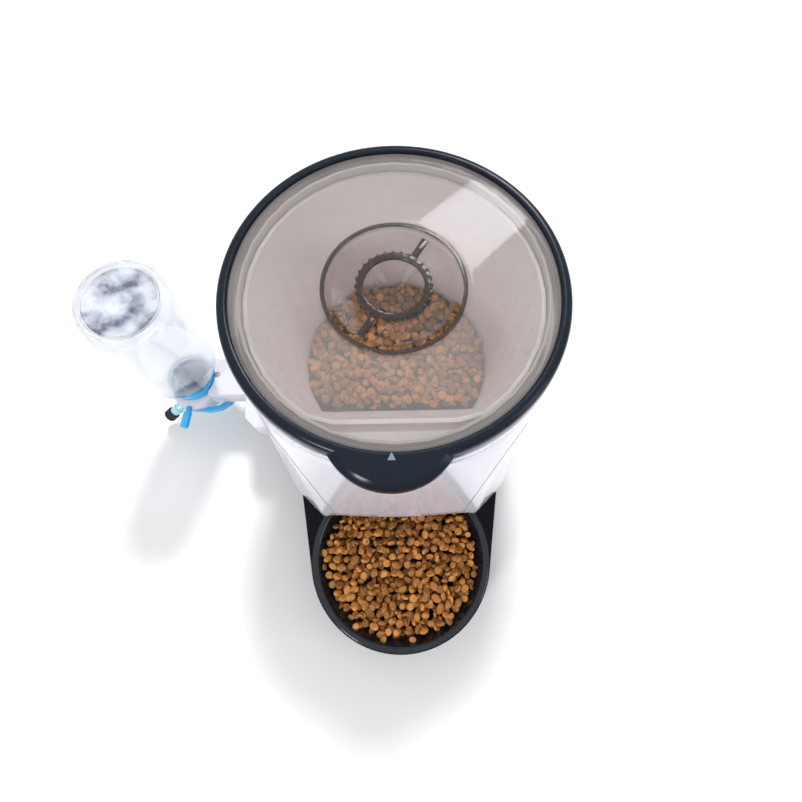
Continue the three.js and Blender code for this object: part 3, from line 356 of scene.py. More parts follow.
def ranged(tree, value, low, high, start=0.3, end=0.7):
    """A texture's value stretched to a range."""
    node = tree.nodes.new("ShaderNodeMapRange")
    node.inputs["From Min"].default_value = start
    node.inputs["From Max"].default_value = end
    node.inputs["To Min"].default_value = low
    node.inputs["To Max"].default_value = high
    tree.links.new(value, node.inputs["Value"])
    return node.outputs["Result"]


def blended(tree, value, first, second):
    """Two colours mixed by a texture's value."""
    node = tree.nodes.new("ShaderNodeMix")
    node.data_type = "RGBA"
    node.inputs["A"].default_value = (*first, 1)
    node.inputs["B"].default_value = (*second, 1)
    tree.links.new(value, node.inputs["Factor"])
    return node.outputs["Result"]


def bumped(tree, shader, value, depth):
    """Relief of a depth in millimetres."""
    node = tree.nodes.new("ShaderNodeBump")
    node.inputs["Distance"].default_value = depth * MM
    tree.links.new(value, node.inputs["Height"])
    tree.links.new(node.outputs["Normal"], shader.inputs["Normal"])


def shade(base, amount):
    return tuple(min(1.0, c * amount) for c in base)


def moulded(name, base, gloss, grain=700.0, depth=0.02, mottle=0.06, coat=0.0, metal=0.0,
            sheen=0.5):
    """Moulded plastic or turned metal: faint unevenness, fine grain and handling marks."""
    material, tree, shader, place = new_finish(name)
    cloudy = ranged(tree, noise(tree, place, 22.0, 4.0), 0.0, 1.0)
    tree.links.new(blended(tree, cloudy, shade(base, 1 - mottle), shade(base, 1 + mottle)),
                   shader.inputs["Base Color"])
    smears = noise(tree, place, 70.0, 6.0, 0.65)
    tree.links.new(ranged(tree, smears, gloss * 0.75, gloss * 1.35), shader.inputs["Roughness"])
    bumped(tree, shader, noise(tree, place, grain, 2.0), depth)
    shader.inputs["Coat Weight"].default_value = coat
    shader.inputs["Coat Roughness"].default_value = 0.04
    shader.inputs["Metallic"].default_value = metal
    shader.inputs["Specular IOR Level"].default_value = sheen
    return material


def see_through(name, tint, cover, gloss=0.05, marks=0.25, density=0.04):
    """Clear or tinted plastic: a thin veil of its tint with faint flow marks."""
    material, tree, shader, place = new_finish(name)
    flow = ranged(tree, noise(tree, place, 14.0, 3.0), 0.0, 1.0)
    tree.links.new(blended(tree, flow, shade(tint, 0.94), shade(tint, 1.06)),
                   shader.inputs["Base Color"])
    tree.links.new(ranged(tree, noise(tree, place, 30.0, 4.0), cover - density, cover + density),
                   shader.inputs["Alpha"])
    scuffs = noise(tree, place, 160.0, 5.0, 0.7)
    tree.links.new(ranged(tree, scuffs, gloss, gloss + marks * gloss, 0.45, 0.75),
                   shader.inputs["Roughness"])
    bumped(tree, shader, noise(tree, place, 45.0, 1.0), 0.012)
    return material


def clear_wall(name, tint, gloss=0.02):
    """Clear blown plastic that bends the light."""
    material, tree, shader, place = new_finish(name)
    flow = ranged(tree, noise(tree, place, 30.0, 2.0), 0.0, 1.0)
    tree.links.new(blended(tree, flow, shade(tint, 0.98), tint), shader.inputs["Base Color"])
    tree.links.new(ranged(tree, noise(tree, place, 120.0, 4.0), gloss, gloss * 2),
                   shader.inputs["Roughness"])
    bumped(tree, shader, noise(tree, place, 55.0, 2.0), 0.06)
    shader.inputs["Transmission Weight"].default_value = 1.0
    shader.inputs["Alpha"].default_value = 0.6
    shader.inputs["IOR"].default_value = 1.33
    return material


def painted_reflection_swirl(name, dark, pale):
    """Painted reflection on the bottle's thick clear end: dark painted reflections that curl
    between pale painted highlights.
    """
    material, tree, shader, place = new_finish(name)
    # Painted reflection: one noise sets where the dark reflections and the pale highlights lie, and
    # how see-through each is.
    painted_reflection_noise = noise(tree, place, 36.0, 4.0, 0.6)
    painted_reflection_mix = ranged(tree, painted_reflection_noise, 0.0, 0.9, 0.42, 0.64)
    tree.links.new(blended(tree, painted_reflection_mix, pale, dark), shader.inputs["Base Color"])
    tree.links.new(ranged(tree, painted_reflection_noise, 0.42, 0.86, 0.40, 0.62), shader.inputs["Alpha"])
    tree.links.new(ranged(tree, noise(tree, place, 90.0, 4.0), 0.04, 0.16),
                   shader.inputs["Roughness"])
    bumped(tree, shader, noise(tree, place, 60.0, 2.0), 0.1)
    return material


def baked(name, base):
    """Baked dry food: each piece its own shade, with a rough, speckled crust."""
    material, tree, shader, place = new_finish(name)
    island = tree.nodes.new("ShaderNodeNewGeometry").outputs["Random Per Island"]
    own = blended(tree, island, shade(base, 0.50), shade(base, 1.38))
    crust = ranged(tree, noise(tree, place, 420.0, 5.0, 0.7), 0.0, 1.0, 0.35, 0.65)
    burnt = tree.nodes.new("ShaderNodeMix")
    burnt.data_type = "RGBA"
    burnt.blend_type = "MULTIPLY"
    burnt.inputs["Factor"].default_value = 1.0
    tree.links.new(own, burnt.inputs["A"])
    tree.links.new(blended(tree, crust, (0.62, 0.50, 0.42), (1.0, 1.0, 1.0)), burnt.inputs["B"])
    tree.links.new(burnt.outputs["Result"], shader.inputs["Base Color"])
    tree.links.new(ranged(tree, crust, 0.42, 0.7, 0.0, 1.0), shader.inputs["Roughness"])
    bumped(tree, shader, noise(tree, place, 520.0, 4.0, 0.7), 0.35)
    return material


FINISHES = {}


def finish(name):
    """One of the feeder's finishes, made when it is first asked for."""
    if name not in FINISHES:
        c = bpy.context.scene.feeder_colours
        white, navy, black, smoke = tuple(c.white), tuple(c.navy), tuple(c.black), tuple(c.smoke)
        make = {
            "white": lambda: moulded("White shell", white, 0.16, 900, 0.006, 0.02, 0.6),
            "navy": lambda: moulded("Navy ring", navy, 0.2, 800, 0.012, 0.12, sheen=0.22),
            "bowl": lambda: moulded("Bowl", (0.009, 0.013, 0.019), 0.12, 800, 0.008, 0.15, 0.12),
            "black": lambda: moulded("Black base", black, 0.34, 1300, 0.03, 0.15, sheen=0.12),
            "milk": lambda: moulded("Hopper grey", tuple(c.milk), 0.30, 900, 0.01, 0.03, 0.2),
            "sky": lambda: moulded("Sky blue", tuple(c.sky), 0.18, 900, 0.01, 0.06, 0.5),
            "stem": lambda: moulded("Stem", (0.020, 0.085, 0.26), 0.22, 900, 0.01, 0.1, 0.4),
            "pale": lambda: moulded("Pale blue", tuple(c.pale), 0.18, 900, 0.01, 0.05, 0.5),
            "rubber": lambda: moulded("Rubber", (0.012, 0.012, 0.014), 0.62, 1500, 0.06, 0.2),
            "steel": lambda: moulded(
                "Plated steel", (0.52, 0.53, 0.55), 0.3, 1800, 0.01, 0.1, 0, 1),
            "brass": lambda: moulded("Brass", (0.62, 0.42, 0.16), 0.3, 1800, 0.01, 0.1, 0, 1),
            "gear": lambda: moulded("Gear plastic", (0.68, 0.65, 0.55), 0.45, 1200, 0.02, 0.05),
            "board": lambda: moulded("Circuit board", (0.01, 0.12, 0.03), 0.4, 1500, 0.03, 0.2),
            "cell": lambda: moulded(
                "Battery jacket", (0.30, 0.19, 0.06), 0.3, 900, 0.01, 0.1, 0.3, 0.6),
            "display": lambda: moulded(
                "Display", (0.004, 0.004, 0.006), 0.06, 700, 0.004, 0.2, 1.0),
            "button": lambda: moulded("Button", (0.50, 0.52, 0.55), 0.4, 1400, 0.03, 0.05),
            "mark": lambda: moulded("Lid mark", (0.16, 0.20, 0.25), 0.5, 1400, 0.02, 0.08),
            "silicone": lambda: moulded("Silicone", (0.42, 0.43, 0.40), 0.5, 900, 0.02, 0.05),
            "smoke": lambda: see_through("Smoke cover", smoke, 0.27),
            "holder": lambda: see_through("Holder", (0.12, 0.105, 0.095), 0.08, 0.08),
            "flange": lambda: see_through("Holder flange", (0.040, 0.032, 0.030), 0.62, 0.10),
            "plate": lambda: see_through("Cap plate", (0.30, 0.28, 0.27), 0.05, 0.06),
            "grip": lambda: see_through("Cap grip", (0.030, 0.024, 0.022), 0.72, 0.12),
            "bottle": lambda: clear_wall("Bottle", (0.90, 0.925, 0.96)),
            # Bottle dish: the dark navy is a painted reflection and the pale blue-white is a
            # painted highlight.
            "dish": lambda: painted_reflection_swirl("Bottle dish painted reflection", (0.035, 0.045, 0.115), (0.78, 0.82, 0.90)),
            "food": lambda: baked("Dry food", tuple(c.food)),
        }
        FINISHES[name] = make[name]()
    return FINISHES[name]


# ---- Pieces ----------------------------------------------------------------------------


def sizes():
    return bpy.context.scene.feeder_sizes


class FEEDER_OT_lid_ring(bpy.types.Operator):
    """The lid's navy ring with its tab and the plain mark on it"""

    bl_idname = "feeder.lid_ring"
    bl_label = "Lid ring"

    def execute(self, context):
        top = LID_TOP
        bottom = span("lid_rim", 2)[0]
        outer = span("lid_rim", 0)[1] - AXIS[0]
        inner = span("lid_cover", 0)[1] - AXIS[0] + 0.3
        ring = turned("lid_ring", [
            (inner - 1.8, bottom), (outer - 1, bottom), (outer, bottom + 1), (outer, top - 4.6),
            (outer - 0.5, top - 2.6), (outer - 1.5, top - 1.1), (outer - 3.2, top - 0.2),
            (outer - 4.2, top), (inner + 1.2, top), (inner + 0.3, top - 0.5), (inner, top - 1.5),
            (inner, top - 5.1), (inner - 1.8, top - 5.1), (inner - 1.8, bottom)])
        place = (AXIS[0] - 3, AXIS[1] - 87)
        tab = turned("tab", [
            (41.7, bottom + 1), (43.7, bottom + 3), (43.7, top - 5.2), (43.0, top - 4.4),
            (39.4, top - 1.0), (38.2, top - 0.6)], place)
        combine(tab, "DIFFERENCE", turned("trim", [(outer - 3, bottom - 5), (outer - 3, top + 5)]))
        combine(ring, "UNION", tab)
        soften(ring, 0.5, 3, 30)
        finished(ring, "lid", "navy_plastic", finish("navy"), "lid_rim")
        half = sizes().mark
        x, y, level = AXIS[0] - 3, AXIS[1] - 113, top - 0.15
        mark = drawn("lid_mark", [(x - half, y, level), (x + half, y, level),
                                  (x, y + 2 * half, level)], (0, 0, 0.3))
        soften(mark, 0.1, 2)
        finished(mark, "lid", "milk_plastic", finish("mark"))
        return {"FINISHED"}


class FEEDER_OT_lid_cover(bpy.types.Operator):
    """The domed smoke-tinted cover and the soft seal under it"""

    bl_idname = "feeder.lid_cover"
    bl_label = "Lid cover"

    def execute(self, context):
        radius = span("lid_cover", 0)[1] - AXIS[0]
        bore = 44.7
        edge = LID_TOP - 2.4
        rise = sizes().cover_rise

        def height(r):
            return edge + rise * (1 - (r / radius) ** 2)

        radii = [bore + (radius - bore) * i / 9 for i in range(10)]
        upper = [(r, height(r)) for r in reversed(radii)]
        lower = [(r, height(r) - 2.4) for r in radii]
        cover = turned("lid_cover_dome", [*lower, *upper, lower[0]])
        soften(cover, 0.4, 2, 50)
        finished(cover, "lid", "smoke_cover", finish("smoke"), "lid_cover")
        seal = refined("lid_seal", "lid_seal_ring", 0.25, 2)
        finished(seal, "lid", "seal_rubber", finish("silicone"), "lid_seal")
        return {"FINISHED"}


class FEEDER_OT_desiccant(bpy.types.Operator):
    """The desiccant holder in the cover, and its twist cap with a ribbed hub and two bars"""

    bl_idname = "feeder.desiccant"
    bl_label = "Desiccant holder"

    def execute(self, context):
        top = span("desiccant_holder", 2)[1]
        low = span("desiccant_holder", 2)[0]
        bore = 41.0
        flange = top - 1.5
        cup = turned("desiccant_cup", [
            (8, low), (43.4, low), (44.4, low + 1), (44.4, flange - 0.1), (bore, flange - 0.1),
            (bore, top - 4.3), (38.5, top - 4.3),
            (38.5, low + 1.8), (8, low + 1.8)])
        for i in range(6):
            turn = pi / 3 * i
            along = Vector((cos(turn), sin(turn)))
            side = Vector((-sin(turn), cos(turn))) * 2
            corners = [12 * along - side, 32 * along - side, 32 * along + side, 12 * along + side]
            slot = drawn("slot", [(*on_axis([c])[0], low - 1) for c in corners], (0, 0, 4))
            combine(cup, "DIFFERENCE", slot)
        soften(cup, 0.3, 2, 40)
        finished(cup, "lid", "smoke_cover", finish("holder"), "desiccant_holder")
        ring = turned("desiccant_flange", [
            (44.6, flange), (47.4, flange), (47.4, top - 0.5), (46.9, top), (45.2, top),
            (44.6, top - 0.5), (44.6, flange)])
        soften(ring, 0.25, 2, 40)
        finished(ring, "lid", "smoke_cover", finish("flange"))

        level = span("desiccant_cap", 2)[1] - 2.6
        plate = turned("cap_plate", [
            (8, level - 1.8), (40.7, level - 1.8), (40.7, level), (8, level)])
        soften(plate, 0.3, 2, 40)
        finished(plate, "desiccant_cap", "smoke_cover", finish("plate"), "desiccant_cap")

        foot = level + 0.05
        hub = turned("cap_hub", [
            (19.8, foot), (24.2, foot), (24.2, level + 2.2), (23.9, level + 2.6),
            (20.2, level + 2.6), (19.8, level + 2.2), (19.8, foot)])
        count = sizes().hub_ribs
        rib = turned("rib", [(1.15, foot), (1.15, level + 2.6)], (AXIS[0] + 24.1, AXIS[1]), 10)
        for i in range(count):
            begin()
            pick(rib)
            bpy.ops.object.duplicate()
            copy = bpy.context.object
            turn = Matrix.Rotation(2 * pi * i / count, 4, "Z")
            pivot = Matrix.Translation((AXIS[0] * MM, AXIS[1] * MM, 0))
            copy.matrix_world = pivot @ turn @ pivot.inverted()
            bpy.ops.object.transform_apply(location=True, rotation=True, scale=True)
            combine(hub, "UNION", copy)
        bpy.data.objects.remove(rib)
        soften(hub, 0.2, 2, 40)
        finished(hub, "desiccant_cap", "smoke_cover", finish("grip"))

        for i, angle in enumerate((58, 238)):
            turn = radians(angle)
            along = Vector((cos(turn), sin(turn)))
            side = Vector((-sin(turn), cos(turn))) * 2.3
            corners = [25.6 * along - side, 40.2 * along - side, 40.2 * along + side,
                       25.6 * along + side]
            outline = [(*on_axis([c])[0], foot) for c in corners]
            bar = drawn(f"cap_bar_{i + 1}", outline, (0, 0, 1.5))
            soften(bar, 0.35, 3)
            finished(bar, "desiccant_cap", "smoke_cover", finish("grip"))
        return {"FINISHED"}


class FEEDER_OT_hopper(bpy.types.Operator):
    """The hopper: a tapered funnel with a flat front and a flange round its mouth"""

    bl_idname = "feeder.hopper"
    bl_label = "Hopper"

    def execute(self, context):
        hopper = refined("hopper", "hopper_funnel", 0.5, 3, 0.2)
        finished(hopper, "root", "milk_plastic", finish("milk"), "hopper")
        return {"FINISHED"}


class FEEDER_OT_body(bpy.types.Operator):
    """The glossy body: a cone with two shoulders and a brow over the bowl, and its front panel"""

    bl_idname = "feeder.body"
    bl_label = "Body and front panel"

    def form(self, name, inset, overrun=0.0):
        top = 258.0
        low = BASE_TOP + 0.3 - overrun
        brow = low if overrun else BROW_HEIGHT
        circles = [(0, 0, top + overrun, 114 - inset, 128), (0, 0, low, 108 - inset, 128)]
        for side in (-1, 1):
            circles.append((side * 83, -80, low, 15 - inset, 48))
            circles.append((side * 61.5, -113.5, brow, 7 - inset, 48))
        for i in range(-9, 10):
            y = -120.5 + inset - 2.6 * (1 - (i / 10) ** 2)
            circles.append((i * 6.15, y + 0.5, brow, 0.5, 12))
        form = spanned(name, on_axis(circles))
        pick(form)
        bpy.ops.object.mode_set(mode="EDIT")
        for level in range(70, 256, 10):
            bpy.ops.mesh.select_all(action="SELECT")
            bpy.ops.mesh.bisect(plane_co=(0, 0, level * MM), plane_no=(0, 0, 1))
        bpy.ops.object.mode_set(mode="OBJECT")
        return form

    def arch(self):
        low, crown, half = BROW_HEIGHT - 4, BROW_HEIGHT + 8, 63.5
        outline = [(-half, low - 60), (half, low - 60), (half, low)]
        for i in range(1, 11):
            t = i / 10
            outline.append((half * (1 - t) ** 2 + 2 * (half - 2) * t * (1 - t)
                            + (half - 20) * t * t,
                            low * (1 - t) ** 2 + 2 * crown * t * (1 - t) + crown * t * t))
        for i in range(1, 16):
            t = i / 16
            outline.append(((half - 20) * (1 - 2 * t),
                            crown * ((1 - t) ** 2 + t * t) + 2 * (crown - 5) * t * (1 - t)))
        outline += [(-x, z) for x, z in reversed(outline[2:13])]
        points = [(*on_axis([(x, -94)])[0], z) for x, z in outline]
        return drawn("arch", points, (0, -60, 0))

    def wedge(self, margin, top):
        def half(y):
            return 54 + 0.81 * (y + 120) + margin
        plan = [(-half(-150), -150), (half(-150), -150), (half(-72), -72), (-half(-72), -72)]
        return drawn("wedge", [(*p, 38) for p in on_axis(plan)], (0, 0, top - 38))

    def execute(self, context):
        shell = self.form("body_shell", 0)
        combine(shell, "DIFFERENCE", self.form("hollow", 3, 20), self.arch())
        pick(shell)
        bpy.ops.object.duplicate()
        panel = bpy.context.object
        panel.name = "front_face"
        combine(shell, "DIFFERENCE", self.wedge(0.3, 250.3))
        combine(panel, "INTERSECT", self.wedge(0, 250))
        window_low, window_high = span("display_window", 2)
        window_low, window_high = window_low - 0.3, window_high + 0.3
        left, right, front = AXIS[0] - 20.3, AXIS[0] + 20.3, AXIS[1] - 130
        opening = drawn("opening", [
            (left, front, window_low), (right, front, window_low),
            (right, front, window_high), (left, front, window_high)], (0, 30, 0))
        combine(panel, "DIFFERENCE", opening)
        for name in ("button_left", "button_middle", "button_right"):
            x = middle(name)[0]
            z = sum(span(name, 2)) / 2
            hole = turned("hole", [(4.3, -20), (4.3, 20)], (0, 0), 48)
            placed(hole, (x, AXIS[1] - 115, z), (pi / 2, 0, 0))
            combine(panel, "DIFFERENCE", hole)
        soften(shell, 0.45, 2, 38)
        soften(panel, 0.45, 2, 38)
        finished(shell, "root", "white_shell", finish("white"), "housing")
        finished(panel, "root", "white_shell", finish("white"), "front_panel")

        collar = turned("body_collar", [
            (111.3, 252), (114.6, 252), (115.5, 253), (115.5, 261.2), (114.8, 262), (112.0, 262),
            (111.3, 261.3), (111.3, 258), (106.7, 258), (106.7, 254), (111.3, 254), (111.3, 252)])
        soften(collar, 0.25, 2, 40)
        finished(collar, "root", "white_shell", finish("white"))
        lining = refined("mouth_lining", "mouth_lining_wall", 0.4, 2)
        finished(lining, "root", "black_plastic", finish("black"), "mouth_lining")
        return {"FINISHED"}


class FEEDER_OT_controls(bpy.types.Operator):
    """The display window and the three buttons under the tab"""

    bl_idname = "feeder.controls"
    bl_label = "Controls"

    def execute(self, context):
        window = refined("display_window", "display_glass", 0.6, 3)
        finished(window, "root", "display_black", finish("display"), "display_window")
        for name in ("button_left", "button_middle", "button_right"):
            cap = refined(name, name + "_cap", 0.3, 2)
            finished(cap, name, "milk_plastic", finish("button"), name)
        return {"FINISHED"}


class FEEDER_OT_base(bpy.types.Operator):
    """The black base with the bowl's recess, its plate, feet, battery door and power inlet"""

    bl_idname = "feeder.base"
    bl_label = "Base"

    def slab(self, name, inset, low, high):
        reach = AXIS[1] - BOWL[1]
        plan = [(0, 0, 104 - inset), (0, -reach, 81 - inset)]
        circles = [(x, y, z, r, 144) for x, y, r in plan for z in (low, high)]
        return spanned(name, on_axis(circles))

    def recess(self, name, margin, top):
        bottom = span("bowl", 2)[0] - margin
        lip, foot = 75.8 + margin, 48 + margin
        return turned(
            name, [(foot, bottom), (foot + 2, bottom + 2), (lip, BASE_TOP - 1), (lip, top)],
                      BOWL)

    def execute(self, context):
        base = self.slab("base_body", 0, 3, BASE_TOP)
        soften(base, 1.1, 4, 40)
        cavity = self.slab("cavity", 3, 1, BASE_TOP - 3)
        combine(cavity, "DIFFERENCE", self.recess("keep", 3.8, BASE_TOP))
        combine(base, "DIFFERENCE", cavity, self.recess("recess", 0.8, BASE_TOP + 5))
        inlet = turned("inlet", [(6, -15), (6, 15)], (0, 0), 48)
        placed(inlet, (AXIS[0], AXIS[1] + 105, 22), (pi / 2, 0, 0))
        combine(base, "DIFFERENCE", inlet)
        smooth(base, 32)
        finished(base, "root", "black_plastic", finish("black"), "base_shell")
        for node, width in (("base_plate", 0.3), ("battery_door", 0.3), ("power_socket", 0.3)):
            body = "battery_door" if node == "battery_door" else "root"
            finished(refined(node, node + "_shaped", width), body, "black_plastic",
                     finish("black"), node)
        for i in range(1, 5):
            x, y = middle(f"foot_{i}")
            foot = turned(f"rubber_foot_{i}", [(7.4, 0), (8.6, 0.4), (9, 1.2), (9, 4)], (x, y), 64)
            soften(foot, 0.3, 2)
            finished(foot, "root", "rubber", finish("rubber"), f"foot_{i}")
        return {"FINISHED"}


class FEEDER_OT_bowl(bpy.types.Operator):
    """The lift-out bowl with a rolled rim and a smooth sloping wall"""

    bl_idname = "feeder.bowl"
    bl_label = "Bowl"

    def execute(self, context):
        low, top = span("bowl", 2)
        under = top - 1.7
        bowl = turned("bowl_dish", [
            (46, low), (48, low), (50, low + 2), (75.8, under - 1), (75.8, under), (79.4, under),
            (80, under + 0.5), (80, top - 0.7), (79.5, top - 0.2), (78.8, top), (76.4, top),
            (75.2, top - 0.25), (74.4, top - 0.8), (73.9, top - 1.8), (66.5, top - 13),
            (59.0, top - 25), (51.5, top - 37), (48.6, low + 5.2), (46.5, low + 3.2),
            (43.5, low + 2.5)], BOWL)
        smooth(bowl, 40)
        finished(bowl, "bowl", "navy_plastic", finish("bowl"), "bowl")
        return {"FINISHED"}


class FEEDER_OT_food(bpy.types.Operator):
    """The dry food: one shaped piece, copied and piled in the bowl and in the hopper"""

    bl_idname = "feeder.food"
    bl_label = "Food"

    def morsel(self, name, turn_by, shape, pinch):
        """A puffed piece with three soft lobes, pulled in between them and dented on top."""
        begin()
        half = context_food().piece * MM
        bpy.ops.mesh.primitive_uv_sphere_add(segments=12, ring_count=6, radius=half)
        piece = start_mesh(name)
        bpy.ops.transform.resize(value=shape, center_override=(0, 0, 0))
        bpy.ops.object.mode_set(mode="OBJECT")
        for vertex in piece.data.vertices:
            around = Vector(vertex.co.xy)
            vertex.select = around.length > 0.45 * half and self.between(around, turn_by)
        bpy.ops.object.mode_set(mode="EDIT")
        bpy.ops.transform.resize(value=(pinch, pinch, 0.9), center_override=(0, 0, 0))
        bpy.ops.mesh.select_all(action="DESELECT")
        bpy.ops.object.mode_set(mode="OBJECT")
        for vertex in piece.data.vertices:
            vertex.select = abs(vertex.co.x) < 0.35 * half and vertex.co.z > 0.3 * half
        bpy.ops.object.mode_set(mode="EDIT")
        bpy.ops.transform.translate(value=(0, 0, -0.24 * half))
        bpy.ops.object.mode_set(mode="OBJECT")
        bpy.ops.object.shade_smooth()
        return piece

    def between(self, around, turn_by):
        """Whether a plan direction lies between two lobes."""
        return cos(3 * (Vector((1, 0)).angle_signed(around) + turn_by)) < -0.4

    def pile(self, name, patterns, layers, inside, slot_body):
        """Copies of the pieces on a loose grid in layers, each turned its own way."""
        dice = random.Random(context_food().seed + len(name))
        pitch = context_food().pitch
        copies = []
        for level, spread, tumble in layers:
            rows = int(200 / pitch)
            shift = dice.uniform(0, pitch)
            for row in range(-rows // 2, rows // 2 + 1):
                for column in range(-rows // 2, rows // 2 + 1):
                    x = (column + 0.5 * (row % 2)) * pitch + shift + dice.gauss(0, 0.16) * pitch
                    y = row * pitch * 0.84 + shift + dice.gauss(0, 0.16) * pitch
                    z = level + dice.uniform(-spread, spread)
                    room = inside(x, y, z)
                    if room is None:
                        continue
                    size = dice.uniform(0.84, 1.16)
                    turn = Euler((dice.gauss(0, tumble), dice.gauss(0, tumble),
                                  dice.uniform(0, 2 * pi))).to_matrix().to_4x4()
                    source = dice.choice(patterns)
                    copies.append((source, Matrix.Translation(Vector(room) * MM) @ turn
                                   @ Matrix.Scale(size, 4)))
        pieces = []
        for source, matrix in copies:
            copy = source.copy()
            copy.data = source.data.copy()
            bpy.context.collection.objects.link(copy)
            copy.matrix_world = matrix
            pieces.append(copy)
        pick(*pieces)
        bpy.ops.object.join()
        pile = bpy.context.object
        bpy.ops.object.transform_apply(location=True, rotation=True, scale=True)
        pile.name = name
        pile.data.name = name
        pile.data.materials.clear()
        pile.data.materials.append(finish("food"))
        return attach(pile, slot_body)

    def execute(self, context):
        patterns = [self.morsel("morsel_a", 0.0, (1.06, 1.0, 0.50), 0.66),
                    self.morsel("morsel_b", 0.5, (1.12, 0.76, 0.56), 0.86),
                    self.morsel("morsel_c", 0.0, (0.96, 0.96, 0.46), 0.72)]
        food = context_food()
        edge = food.piece * 0.75

        def in_bowl(x, y, z):
            distance = (x * x + y * y) ** 0.5
            z += 3.0 * (1 - (distance / 70) ** 2)
            wall = 75.6 - max(0.0, (58.6 - z)) * 0.45 - edge
            return None if distance > wall else (BOWL[0] + x, BOWL[1] + y, z)

        def in_hopper(x, y, z):
            distance = (x * x + y * y) ** 0.5
            wall = 74.4 + (z - 150) * 0.2 - edge
            if distance > wall or y < -41.0 + edge:
                return None
            return (AXIS[0] + x, AXIS[1] + y, z)

        level = food.bowl_level
        self.pile("bowl_food", patterns, [(level - 8, 1.5, 0.5), (level - 3.0, 2.0, 0.8),
                                          (level + 1.5, 1.8, 0.7)], in_bowl, "bowl")
        level = food.hopper_level
        self.pile("hopper_food", patterns, [(level - 6, 1.0, 0.4), (level - 2.5, 1.0, 0.4),
                                            (level, 1.0, 0.4), (level + 2.5, 2.0, 0.5)],
                  in_hopper, "root")
        for piece in patterns:
            bpy.data.objects.remove(piece)
        return {"FINISHED"}


def context_food():
    return bpy.context.scene.feeder_food


class FEEDER_OT_dock(bpy.types.Operator):
    """The dock on the body's side that the bottle's bracket hooks into"""

    bl_idname = "feeder.dock"
    bl_label = "Bottle dock"

    def execute(self, context):
        dock = refined("bottle_dock", "dock_block", 1.1, 4, 1.0, 40)
        finished(dock, "root", "white_shell", finish("white"), "bottle_dock")
        return {"FINISHED"}


class FEEDER_OT_bracket(bpy.types.Operator):
    """The bottle's bracket with its screw, its blue collar and the band under it"""

    bl_idname = "feeder.bracket"
    bl_label = "Bottle bracket"

    def execute(self, context):
        bracket = refined("bottle_bracket", "bracket_arm", 0.7, 3, 1.0, 35)
        finished(bracket, "bracket", "white_shell", finish("white"), "bottle_bracket")
        band = refined("bracket_band", "bracket_band_ring", 0.8, 3, 1.0, 35)
        finished(band, "bracket", "sky_blue", finish("sky"), "bracket_band")
        low = span("bottle_collar", 2)[0]
        top = low + 8.4
        collar = turned("collar_ring", [
            (19.0, low), (22.0, low), (22.0, low + 3), (21.0, low + 3.6), (21.0, low + 4.8),
            (22.0, low + 5.4), (21.6, top), (19.6, top), (19.0, top - 0.8), (19.0, low)],
            BOTTLE, 96)
        soften(collar, 0.35, 3)
        finished(collar, "bracket", "sky_blue", finish("sky"), "bottle_collar")
        x, y = middle("bracket_screw")
        low, top = span("bracket_screw", 2)
        screw = turned("bracket_screw_head", [
            (1.6, low), (1.6, top - 2.0), (2.7, top - 2.0), (2.7, top - 0.9), (2.2, top - 0.3),
            (1.2, top)], (x, y), 48)
        slot = turned("cross", [(0.42, -4), (0.42, 4)], (0, 0), 4)
        combine(screw, "DIFFERENCE", placed(slot, (x, y, top + 0.05), (pi / 2, 0, 0.4)))
        smooth(screw, 35)
        finished(screw, "bracket", "steel", finish("steel"), "bracket_screw")
        return {"FINISHED"}


